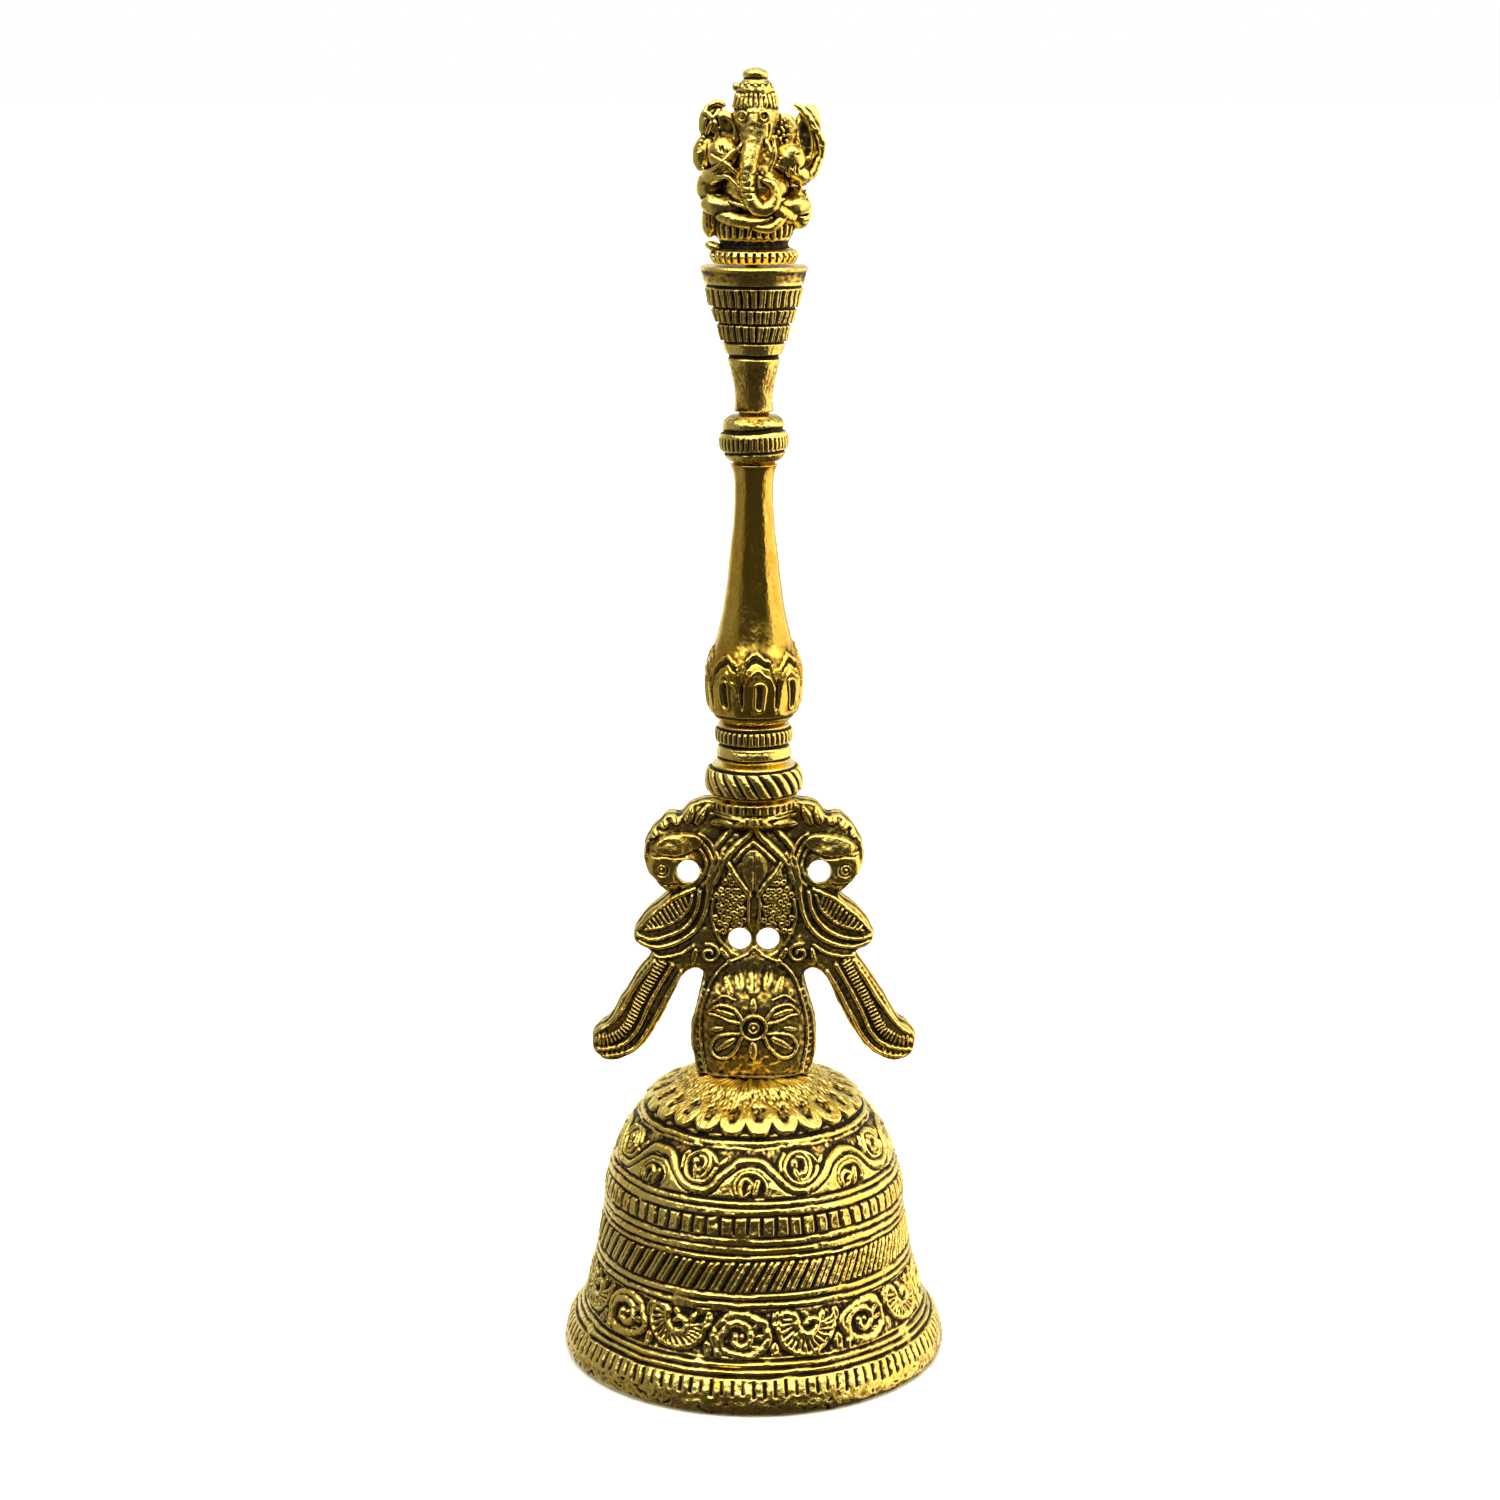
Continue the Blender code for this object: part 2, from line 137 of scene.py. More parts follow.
def line_distance(u, v, line, reach):
    """Distance from each (u, v) to a polyline, worked out only where it is nearer than reach."""
    best = np.full(u.shape, 99.0)
    along = np.zeros(u.shape)
    pts = np.asarray(line, float)
    total = np.linalg.norm(np.diff(pts, axis=0), axis=1).sum()
    lo, hi = pts.min(0) - reach, pts.max(0) + reach
    near = np.nonzero((u > lo[0]) & (u < hi[0]) & (v > lo[1]) & (v < hi[1]))
    if not len(near[0]):
        return best, along
    uu, vv = u[near], v[near]
    b, s = np.full(uu.shape, 99.0), np.zeros(uu.shape)
    run = 0.0
    for (x0, y0), (x1, y1) in zip(pts, pts[1:]):
        dx, dy = x1 - x0, y1 - y0
        step = math.hypot(dx, dy)
        if step < 1e-9:
            continue
        t = np.clip(((uu - x0) * dx + (vv - y0) * dy) / step ** 2, 0, 1)
        d = np.hypot(uu - x0 - t * dx, vv - y0 - t * dy)
        closer = d < b
        b = np.where(closer, d, b)
        s = np.where(closer, run + t * step, s)
        run += step
    best[near] = b
    along[near] = s / max(total, 1e-9)
    return best, along


class Relief:
    """Raised and cut lines laid over a flat pattern. Heights are in mm."""

    def __init__(self, u, v):
        self.u, self.v = u, v
        self.height = np.zeros(u.shape)

    def stroke(self, line, width, height, taper=0.0):
        """A raised rounded line. taper narrows it towards its end."""
        d, along = line_distance(self.u, self.v, line, width)
        self.height = np.maximum(self.height, height * ridge(d, width * (1 - taper * along)))

    def flow(self, points, width, height, taper=0.0):
        """A raised line that runs smoothly through points."""
        self.stroke(curve(points), width, height, taper)

    def cut(self, line, width, depth, taper=0.0):
        """A rounded cut along a line."""
        d, along = line_distance(self.u, self.v, line, width)
        self.height = self.height - depth * ridge(d, width * (1 - taper * along))

    def leaf(self, tip, base, width, height):
        """A pointed almond from base to tip with a cut down its middle."""
        (x0, y0), (x1, y1) = base, tip
        length = math.hypot(x1 - x0, y1 - y0)
        ax, ay = (x1 - x0) / length, (y1 - y0) / length
        s = ((self.u - x0) * ax + (self.v - y0) * ay) / length
        t = (self.u - x0) * -ay + (self.v - y0) * ax
        w = width * np.sqrt(np.clip(4 * s * (1 - s), 0, 1)) * (1 - 0.25 * s)
        inside = (s > 0) & (s < 1)
        body = np.where(inside, ridge(t, np.maximum(w, 0.02)) * (np.abs(t) < w), 0)
        vein = np.where(inside, ridge(t, 0.13), 0)
        self.height = np.maximum(self.height, height * body - 0.6 * height * vein * body)

    def ring(self, cx, cy, radius, width, height):
        d = np.abs(np.hypot(self.u - cx, self.v - cy) - radius)
        self.height = np.maximum(self.height, height * ridge(d, width))

    def dot(self, cx, cy, radius, height):
        d = np.hypot(self.u - cx, self.v - cy)
        self.height = np.maximum(self.height, height * ridge(d, radius))


# ---------------------------------------------------------------- meshes

def add_piece(name, verts, quads, patina_and_painted_light, slot):
    """A smooth-shaded piece in a slot's metal, from points in mm, with its patina and painted light, 0 bright
    to 1 dark.
    """
    mesh = bpy.data.meshes.new(name)
    mesh.vertices.add(len(verts))
    mesh.vertices.foreach_set("co", (np.asarray(verts) * MM).astype(np.float32).ravel())
    quads = np.asarray(quads, np.int32)
    mesh.loops.add(quads.size)
    mesh.loops.foreach_set("vertex_index", quads.ravel())
    mesh.polygons.add(len(quads))
    mesh.polygons.foreach_set("loop_start", np.arange(0, quads.size, 4, dtype=np.int32))
    mesh.polygons.foreach_set("use_smooth", np.ones(len(quads), bool))
    mesh.update(calc_edges=True)
    layer = mesh.attributes.new("patina_and_painted_light", "FLOAT", "POINT")
    layer.data.foreach_set("value", np.clip(patina_and_painted_light, 0, 1).astype(np.float32).ravel())
    mesh.materials.append(METALS[slot])
    obj = bpy.data.objects.new(name, mesh)
    bpy.context.scene.collection.objects.link(obj)
    return obj


def turned(name, line, columns, relief, spacing, slot, cavity=0.09):
    """A closed turned piece. line runs (r, z) up the outside and back down the inside, round a hole.

    relief(angle, r, z, outside) gives (height along the normal, extra patina and painted light). Hollows get
    darker:
    cavity is the depth, in mm, that darkens them most of the way.
    """
    tangent = np.gradient(line, axis=0)
    tangent /= np.linalg.norm(tangent, axis=1)[:, None] + 1e-12
    normal = np.column_stack([tangent[:, 1], -tangent[:, 0]])
    angle = np.arange(columns) * TAU / columns
    a, r = np.meshgrid(angle, line[:, 0])
    _, z = np.meshgrid(angle, line[:, 1])
    top = line[:, 1].argmax()
    outside = (np.arange(len(line)) <= top)[:, None] & np.ones(a.shape, bool)
    height, extra = relief(a, r, z, outside)
    step_a = max(0.05, float(np.median(line[:, 0])) * TAU / columns)
    wide = blur(height, (0.7 / spacing, 0.7 / step_a), (True, True))
    tight = blur(height, (0.25 / spacing, 0.25 / step_a), (True, True))
    hollow = (tight - height) / cavity * 0.5 + (wide - height) / (2.2 * cavity)
    patina_and_painted_light = 0.30 + hollow + extra
    rr = r + height * normal[:, 0][:, None]
    zz = z + height * normal[:, 1][:, None]
    verts = np.stack([rr * np.sin(a), -rr * np.cos(a), zz], -1).reshape(-1, 3)
    rows = len(line)
    i, j = np.meshgrid(np.arange(rows), np.arange(columns), indexing="ij")
    i2, j2 = (i + 1) % rows, (j + 1) % columns
    quads = np.stack([i * columns + j, i * columns + j2, i2 * columns + j2, i2 * columns + j], -1)
    return add_piece(name, verts, quads.reshape(-1, 4), patina_and_painted_light.reshape(-1), slot)


def profile_path(*parts):
    """Joins (points, spacing, rounded) runs into one dense closed profile."""
    out = []
    for points, spacing, rounded in parts:
        p = np.array(points, float)
        if rounded:
            run = curve(p, spacing)
        else:
            run = np.vstack([np.linspace(a, b, max(1, int(np.hypot(*(b - a)) / spacing)), endpoint=False)
                             for a, b in zip(p, p[1:])] + [p[-1:]])
        if out and np.hypot(*(out[-1][-1] - run[0])) < 1e-6:
            run = run[1:]
        out.append(run)
    line = np.vstack(out)
    if np.hypot(*(line[0] - line[-1])) < 1e-6:
        line = line[:-1]
    return line


def cells(angle, count, shift=0.0):
    """Splits the circle in equal cells: (-0.5..0.5 across each cell, the cell's number)."""
    t = angle * count / TAU + shift
    k = np.floor(t + 0.5)
    return t - k, k.astype(int) % count


# ---------------------------------------------------------------- materials

def set_ramp(node, stops):
    ramp = node.color_ramp
    while len(ramp.elements) > 1:
        ramp.elements.remove(ramp.elements[-1])
    ramp.elements[0].position, ramp.elements[0].color = stops[0][0], (*stops[0][1], 1)
    for position, colour in stops[1:]:
        ramp.elements.new(position).color = (*colour, 1)


class Nodes:
    """Adds nodes to a tree. A socket takes a constant, or the output that feeds it."""

    def __init__(self, tree):
        self.tree = tree

    def feed(self, node, sockets):
        for key, value in sockets.items():
            if isinstance(value, bpy.types.NodeSocket):
                self.tree.links.new(value, node.inputs[key])
            else:
                node.inputs[key].default_value = value

    def add(self, kind, sockets=None, **settings):
        node = self.tree.nodes.new("ShaderNode" + kind)
        for setting, value in settings.items():
            setattr(node, setting, value)
        self.feed(node, sockets or {})
        return node

    def math(self, kind, a, b, clamp=False):
        return self.add("Math", {0: a, 1: b}, operation=kind, use_clamp=clamp).outputs[0]

    def spread(self, value, middle, amount, clamp=False):
        """How far a value is from the middle, times an amount."""
        return self.math("MULTIPLY", self.math("SUBTRACT", value, middle), amount, clamp)

    def remap(self, value, from_low, from_high, to_low, to_high, kind="LINEAR"):
        sockets = {"Value": value, "From Min": from_low, "From Max": from_high, "To Min": to_low,
                   "To Max": to_high}
        return self.add("MapRange", sockets, interpolation_type=kind).outputs["Result"]

    def noise(self, place, size_mm, detail, roughness=0.55):
        sockets = {"Vector": place, "Scale": 1 / (size_mm * MM), "Detail": detail, "Roughness": roughness}
        return self.add("TexNoise", sockets).outputs["Fac"]


def cast_metal(name, stops, rough=(0.19, 0.58), blotch=0.16, speck=0.22, bump=0.5, grain_mm=0.45,
               scratches=0.0):
    """Cast metal: colour, gloss and metal share follow the mesh's patina and painted light, broken up by
    casting grain.
    """
    mat = bpy.data.materials.new(name)
    mat.use_nodes = True
    nodes = Nodes(mat.node_tree)
    place = nodes.add("TexCoord").outputs["Object"]
    specks = nodes.noise(place, grain_mm, 4, 0.65)
    pits = nodes.noise(place, grain_mm * 0.4, 2)
    patina_and_painted_light = nodes.add("Attribute", attribute_name="patina_and_painted_light").outputs["Fac"]
    shade = nodes.math("ADD", patina_and_painted_light, nodes.spread(nodes.noise(place, 5.0, 3), 0.5, blotch * 2))
    shade = nodes.math("ADD", shade, nodes.spread(specks, 0.5, speck * 2), clamp=True)
    ramp = nodes.add("ValToRGB", {"Fac": shade})
    set_ramp(ramp, stops)
    # patches where the metal has turned a little redder
    patches = nodes.spread(nodes.noise(place, 7.0, 2), 0.45, 3.5, clamp=True)
    factor, first, second = 0, 6, 7         # the Mix node's sockets for colours
    tarnish = nodes.add("Mix", {factor: patches, first: ramp.outputs["Color"], second: (1.0, 0.87, 0.6, 1)},
                        data_type="RGBA", blend_type="MULTIPLY")
    gloss = nodes.remap(shade, 0.1, 0.9, *rough)
    relief = nodes.math("ADD", specks, nodes.math("MULTIPLY", pits, 0.35))
    if scratches:
        stretched = nodes.add("Mapping", {"Vector": place, "Scale": (1, 1, 0.04)}).outputs["Vector"]
        lines = nodes.noise(stretched, 0.25, 2, 0.5)
        relief = nodes.math("ADD", relief, nodes.math("MULTIPLY", lines, scratches))
    bumps = nodes.add("Bump", {"Strength": bump, "Distance": 0.12 * MM, "Height": relief})
    nodes.feed(mat.node_tree.nodes["Principled BSDF"], {
        "Base Color": tarnish.outputs[2],
        "Metallic": nodes.remap(shade, 0.45, 0.95, 1.0, 0.45),
        "Roughness": nodes.math("ADD", gloss, nodes.spread(pits, 0.5, 0.16)),
        "Specular IOR Level": 0.15,
        "Normal": bumps.outputs["Normal"]})
    return mat


GOLD_STOPS = [(0.0, (0.97, 0.80, 0.25)), (0.25, (0.77, 0.555, 0.135)), (0.5, (0.35, 0.232, 0.060)),
              (0.72, (0.080, 0.050, 0.016)), (1.0, (0.005, 0.004, 0.003))]
OLIVE_STOPS = [(0.0, (0.92, 0.73, 0.22)), (0.25, (0.62, 0.46, 0.115)), (0.5, (0.28, 0.195, 0.052)),
               (0.72, (0.062, 0.042, 0.014)), (1.0, (0.006, 0.005, 0.003))]
POLISHED_STOPS = [(0.0, (0.85, 0.64, 0.14)), (0.3, (0.66, 0.45, 0.08)), (0.6, (0.36, 0.23, 0.04)),
                  (0.8, (0.10, 0.065, 0.015)), (1.0, (0.025, 0.016, 0.006))]
STEEL_STOPS = [(0.0, (0.62, 0.60, 0.56)), (0.4, (0.40, 0.38, 0.35)), (0.75, (0.16, 0.12, 0.09)),
               (1.0, (0.05, 0.035, 0.025))]

# The metal of each of the record's material slots.
METALS = {
    "cup_brass": cast_metal("cup_brass", GOLD_STOPS, rough=(0.10, 0.5), bump=0.7, grain_mm=0.5),
    "bracket_brass": cast_metal("bracket_brass", OLIVE_STOPS, rough=(0.13, 0.55), bump=0.7),
    "collar_brass": cast_metal("collar_brass", GOLD_STOPS, rough=(0.11, 0.5), bump=0.6),
    "grip_brass": cast_metal("grip_brass", POLISHED_STOPS, rough=(0.13, 0.5), blotch=0.10, speck=0.09,
                             bump=0.10, grain_mm=0.8, scratches=0.4),
    "capital_brass": cast_metal("capital_brass", GOLD_STOPS, rough=(0.12, 0.5), speck=0.16),
    "finial_brass": cast_metal("finial_brass", GOLD_STOPS, rough=(0.10, 0.5), speck=0.2, bump=0.6),
    "clapper_brass": cast_metal("clapper_brass", OLIVE_STOPS, rough=(0.3, 0.6), bump=0.5, grain_mm=0.8),
    "steel": cast_metal("steel", STEEL_STOPS, rough=(0.32, 0.6), bump=0.2, grain_mm=0.5),
}


# ---------------------------------------------------------------- the cup

CUP_TOP = 45.4
CROWN_INSIDE = 42.4
BOLT_HOLE = 1.8
CUP_STEP = 0.19
CUP_COLUMNS = 900

CUP_OUTSIDE = [(29.9, 0.35), (30.25, 0.8), (30.38, 1.6), (30.15, 2.6), (29.9, 3.6), (29.4, 4.7), (28.8, 5.7),
               (28.0, 6.7), (27.4, 7.8), (26.9, 9.0), (26.35, 11.0), (25.85, 13.0), (25.35, 15.2),
               (24.95, 17.2), (24.65, 19.2), (24.35, 21.2), (24.0, 23.2), (23.85, 24.6), (23.75, 27.0),
               (23.45, 28.4), (22.95, 30.3), (22.2, 32.3), (21.4, 34.3), (20.3, 36.3), (18.8, 38.4),
               (16.9, 40.3), (14.6, 42.1), (12.3, 43.6), (10.6, 44.8), (9.6, CUP_TOP)]
CUP_INSIDE = [(6.0, CROWN_INSIDE), (9.0, 41.6), (11.6, 40.4), (14.2, 38.6), (16.2, 36.6), (19.2, 31.8),
              (20.9, 26.2), (21.8, 20.6), (23.2, 13.4), (25.0, 6.4), (26.5, 1.0), (27.2, 0.25)]
# (height, half width, depth) of each turned ring line
CUP_GROOVES = [(5.95, 0.34, 0.42), (6.85, 0.3, 0.36), (7.85, 0.38, 0.45), (15.3, 0.32, 0.36),
               (16.45, 0.38, 0.42), (17.75, 0.3, 0.38), (22.55, 0.3, 0.34), (23.5, 0.32, 0.40),
               (24.9, 0.34, 0.40), (26.2, 0.34, 0.45), (29.4, 0.34, 0.45), (30.85, 0.28, 0.34),
               (31.9, 0.34, 0.42), (39.0, 0.28, 0.3), (39.9, 0.3, 0.38)]


def fan_panel(u, v):
    """One panel of the lower band, 10.2 mm long and 6.8 mm high: a hooked curl over a feathered fan."""
    art = Relief(u, v)
    art.stroke(arc(0.1, 4.6, 4.7, 4.1, 0.82, 2.06, 40), 0.46, 0.46)
    for angle in np.linspace(0.92, 2.04, 15) * math.pi:
        near = angle - 0.2
        art.stroke([(0.2 + 2.3 * math.cos(near), 4.4 + 2.0 * math.sin(near)),
                    (0.1 + 4.3 * math.cos(angle), 4.5 + 3.8 * math.sin(angle))], 0.31, 0.5)
    art.flow([(-3.4, 6.6), (-2.0, 6.0), (-1.5, 4.4), (-0.3, 3.0), (1.4, 3.2), (1.8, 4.7), (0.6, 5.4),
              (-0.2, 4.7)],
             0.72, 0.6, taper=0.25)
    art.leaf((2.9, 6.6), (2.2, 4.4), 0.65, 0.5)
    art.leaf((-0.9, 6.7), (0.3, 5.9), 0.5, 0.45)
    return panel_ends(art)


def curl_panel(u, v):
    """One panel of the lower band: a curl with three leaves in a ring."""
    art = Relief(u, v)
    art.stroke(arc(0, 3.35, 4.15, 3.05, -0.62, 1.32, 30), 0.62, 0.46)
    art.flow([(-3.3, 0.6), (-3.1, 3.3), (-2.0, 5.0), (-0.1, 5.3), (1.4, 4.3), (1.5, 2.7), (0.3, 1.8),
              (-0.9, 2.3), (-0.9, 3.5)], 0.8, 0.55, taper=0.3)
    art.dot(0.2, 3.4, 0.5, 0.5)
    art.leaf((1.6, 3.9), (3.5, 5.3), 0.6, 0.45)
    art.leaf((1.9, 2.9), (3.7, 3.3), 0.5, 0.42)
    art.leaf((1.2, 1.7), (3.0, 1.4), 0.5, 0.42)
    return panel_ends(art)


def panel_ends(art):
    """Adds the leaves between one panel and the next."""
    for side in (-1, 1):
        art.leaf((side * 4.9, 6.9), (side * 5.1, 4.3), 0.7, 0.45)
        art.leaf((side * 4.9, 0.0), (side * 5.1, 2.2), 0.7, 0.42)
    return art.height


def vine_wave(u, v):
    """One wave of the upper band, 16.8 mm long and 7.2 mm high: a vine with curls in its bends."""
    art = Relief(u, v)
    x = np.linspace(-9.6, 9.6, 60)
    bend = np.cos(x * math.pi / 8.4)
    vine = np.column_stack([x, 3.3 + 2.35 * (1.2 * bend - 0.2 * bend ** 3)])
    below = np.interp(u, x, vine[:, 1]) - v
    dish = np.hypot(u / 2.75, (v - 1.7) / 2.3)
    art.height = 0.40 * smooth(0.5, 0.9, below) * smooth(0.95, 1.08, dish)
    art.stroke(vine, 0.72, 0.62)
    art.cut(vine - (0, 1.0), 0.2, 0.35)
    art.stroke(arc(0, 1.7, 2.5, 2.05, -0.15, 1.15, 24), 0.3, 0.45)
    art.flow([(-1.6, 0.3), (-1.7, 1.9), (-0.7, 2.8), (0.2, 2.1), (-0.3, 1.3)], 0.42, 0.5)
    art.leaf((0.4, 0.2), (1.3, 2.9), 0.6, 0.5)
    art.stroke([(-0.9, 0.4), (-0.2, 0.9)], 0.3, 0.4)
    for cx in (-8.2, 8.2):
        cy = 4.4
        art.stroke(arc(cx, cy, 2.55, 2.2, 0.10, 1.95, 30), 0.38, 0.5)
        for reach in (1.15, 1.95):
            art.stroke(arc(cx - 0.5, cy + 0.2, reach, reach, -0.40, 0.42, 14), 0.4, 0.56)
        art.dot(cx - 0.9, cy + 0.5, 0.75, 0.55)
        art.leaf((cx - 0.2, cy - 2.0), (cx - 0.9, cy - 0.1), 0.5, 0.5)
        art.flow([(cx - 3.2, cy - 0.4), (cx - 3.3, cy + 0.9), (cx - 2.6, cy + 1.9)], 0.36, 0.45)
        art.leaf((cx + 4.2, cy + 1.6), (cx + 2.9, cy + 0.2), 0.4, 0.42)
    return art.height


def cup_relief(a, r, z, outside):
    """The bands of the cup's outside from the lip up, and turning marks inside."""
    outside = outside | (z > CUP_TOP - 0.2)
    wander = 0.7 * round_grain(a, 5, 26, 11) + 0.6 * round_grain(a, 4, 8, 10)
    rough = round_grain(a, 1.2, 1.4, 12)
    coarse = round_grain(a, 3.5, 4.5, 13)
    zz = z + 0.15 * wander + 0.04 * coarse
    h = np.zeros(a.shape)
    extra = np.zeros(a.shape)
    for centre, half_width, depth in CUP_GROOVES:
        h += depth * groove(zz, centre, half_width) * (1 + 0.55 * coarse)
    # the lip: notched along its upper half, pitted below
    t, k = cells(a + 0.006 * wander, 112)
    jitter = np.random.default_rng(5).uniform(0.35, 1.2, 112)[k]
    notch = ridge(t, 0.22) * jitter
    h -= 0.42 * notch * band(zz, 3.7 - 0.6 * jitter, 5.5, 0.25)
    # painted highlight: a lighter band along the top of the lip
    extra -= 0.12 * band(zz, 4.2, 5.6, 0.3)
    pit = np.clip(rough - 0.55, 0, 1) * (1 - smooth(3.0, 4.0, zz))
    h -= 0.3 * pit
    extra += 0.5 * pit
    # lower panels
    rows_in = (z[:, 0] > 7.6) & (z[:, 0] < 15.8) & outside[:, 0]
    t, k = cells(a[rows_in], 16, 0.196)
    sway = [0.42 * round_grain(t, 6, 8, seed) for seed in (15, 16)]
    u, v = t * 10.2 + sway[0], (zz[rows_in] - 8.25) * 1.02 + sway[1]
    art = np.where(k % 2 == 0, curl_panel(u, v), fan_panel(u, v))
    window = band(zz[rows_in], 8.25, 15.0, 0.14)
    h[rows_in] += (art - 0.38 + 0.07 * rough[rows_in]) * window
    extra[rows_in] += 0.05 * window * (art < 0.08)
    # slanted hatching
    phase = a * 66 / TAU - (zz - 17.9) * 0.24 + 0.06 * wander
    t = phase - np.floor(phase)
    strength = 0.8 + 0.35 * round_grain(a, 30, 40, 19)
    blade = 0.34 * ridge(t - 0.5, 0.17) - 0.32 * ridge(t - 0.83, 0.17) + 0.12 * ridge(t - 0.1, 0.12)
    window = band(zz, 17.95, 22.4, 0.14)
    h += (blade * strength - 0.22) * window
    extra += 0.08 * window
    # dentils
    t, k = cells(a + 0.008 * wander, 68)
    tooth = (1 - smooth(0.28, 0.42, np.abs(t))) * np.random.default_rng(7).uniform(0.7, 1.1, 68)[k]
    dish = ridge(t, 0.26) * band(zz, 26.9, 28.3, 0.3)
    h += (0.42 * tooth - 0.42 - 0.12 * dish) * band(zz, 26.5, 29.15, 0.12)
    # upper vine
    rows_in = (z[:, 0] > 31.4) & (z[:, 0] < 39.3) & outside[:, 0]
    t, k = cells(a[rows_in], 8, 0.03)
    sway = [0.38 * round_grain(t, 6, 8, seed) for seed in (17, 18)]
    u, v = t * 16.8 + sway[0] * (1 - smooth(0.4, 0.5, np.abs(t))), (zz[rows_in] - 32.1) * 1.1 + sway[1]
    art = vine_wave(u, v)
    window = band(zz[rows_in], 32.15, 38.75, 0.14)
    h[rows_in] += (art - 0.40) * window
    extra[rows_in] += 0.05 * window * (art < 0.08)
    # scalloped skirt of petals round the crown
    t, k = cells(a + 0.006 * wander, 24, -0.19)
    drop = 40.3 + 1.25 * np.abs(2 * t) ** 3 + 0.16 * wander
    over = smooth(drop - 0.14, drop + 0.10, z)
    h += 0.80 * over * (1 - smooth(41.6, 44.2, z)) * outside
    rim_gap = smooth(drop + 0.95, drop + 1.35, z) * (1 - smooth(42.8, 43.8, z))
    width = np.clip(0.12 + 0.16 * (z - 41.2), 0.05, 0.34)
    hollow = ridge(t, width) * rim_gap
    h -= 0.38 * hollow * outside
    extra += 0.12 * hollow - 0.2 * over * (1 - rim_gap) * (z < 43)
    # painted shadow: a dark band just under the edge of the scalloped skirt
    extra += 0.4 * smooth(39.9, 40.5, z) * (1 - over)
    # crown and body grain
    crown = smooth(41.6, 43.2, z)
    h += (0.065 + 0.06 * crown) * rough + (0.06 + 0.05 * crown) * coarse
    # painted highlight: the upward-facing crown is made lighter, on top of its grain
    extra += -0.22 * crown + (0.12 + 0.1 * crown) * rough
    turning_marks = 0.05 * np.sin(z * 7.0) * round_grain(a, 2, 60, 14)
    h = np.where(outside, h, 0.03 * rough + turning_marks)
    extra = np.where(outside, extra - 0.02, 0.24 + 0.1 * coarse)
    # foot and inner edges stay inside the flat rim
    h *= smooth(0.3, 0.9, z) * np.where(outside, 1, 1 - smooth(41.0, 42.0, z))
    return h, extra


def make_cup():
    line = profile_path(
        (CUP_OUTSIDE, CUP_STEP, True),
        ([(9.6, CUP_TOP), (BOLT_HOLE, CUP_TOP), (BOLT_HOLE, CROWN_INSIDE), (6.0, CROWN_INSIDE)], 0.8, False),
        (CUP_INSIDE, 0.7, True),
        ([(27.2, 0.25), (27.45, 0.0), (29.5, 0.0), (29.9, 0.35)], 0.4, False))
    return turned("cup", line, CUP_COLUMNS, cup_relief, CUP_STEP, "cup_brass", cavity=0.08)


cup = make_cup()
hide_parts("bell_cup")
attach(cup, "bell")


# ---------------------------------------------------------------- turned handle castings

BORE = 1.55
SEAM = 0.62              # a spigot below each casting closes the gap to the next one


def handle_piece(name, outside, relief, node, slot, columns=320, step=0.11):
    """A turned casting from its outside (r, z) points, bored right through for the tie rod."""
    (edge, low), high = outside[0], outside[-1][1]
    seam = [(BORE, low - SEAM), (edge - 0.7, low - SEAM), (edge - 0.7, low), outside[0]]
    line = profile_path((outside, step, True),
                        ([outside[-1], (BORE, high), *seam], 0.4, False))
    obj = turned(name, line, columns, relief, step, slot, cavity=0.07)
    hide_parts(node)
    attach(obj, "bell")


def wobble(a, z, seed, size):
    """Heights seen by a band that runs a little tilted and uneven round its casting."""
    return z + size * (0.7 * np.sin(a - seed) + 0.5 * round_grain(a, 6, 12, seed))


def cast_skin(a, seed, fine=0.022, broad=0.055):
    """Small pits and a slow unevenness, in mm."""
    return fine * round_grain(a, 1.4, 1.6, seed) + broad * round_grain(a, 6, 8, seed + 1)


def ends_flat(h, z, low, high):
    """Relief that dies away at a casting's two ends, where the next castings meet it."""
    return h * smooth(low, low + 0.35, z) * (1 - smooth(high - 0.35, high, z))


def rope_relief(a, r, z, outside):
    h = cast_skin(a, 21)
    true_z, z = z, wobble(a, z, 22, 0.13)
    phase = a * 22 / TAU + 0.30 * (z - 92.5) + 0.05 * round_grain(a, 8, 12, 23)
    t = phase - np.floor(phase) - 0.5
    strand = ridge(t, 0.5)
    window = band(z, 91.0, 94.7, 0.25)
    h += (0.55 * strand - 0.42) * window
    h += 0.35 * groove(z, 95.0, 0.3) + 0.3 * groove(z, 90.75, 0.25)
    return ends_flat(h * (r > 3), true_z, 90.3, 95.3), 0.05 + 0.12 * (1 - strand) * window


def beaded_relief(a, r, z, outside):
    h = cast_skin(a, 31)
    true_z, z = z, wobble(a, z, 33, 0.13)
    t, k = cells(a, 40)
    slot = ridge(t, 0.26) * np.random.default_rng(3).uniform(0.7, 1.1, 40)[k]
    h -= 0.34 * slot * band(z, 98.9, 100.75, 0.2)
    h += 0.4 * groove(z, 98.35, 0.42) + 0.28 * groove(z, 101.0, 0.28)
    h += 0.3 * groove(z, 96.25, 0.3)
    return ends_flat(h * (r > 3), true_z, 95.9, 101.5), 0.06 + 0.2 * (z > 101.0)


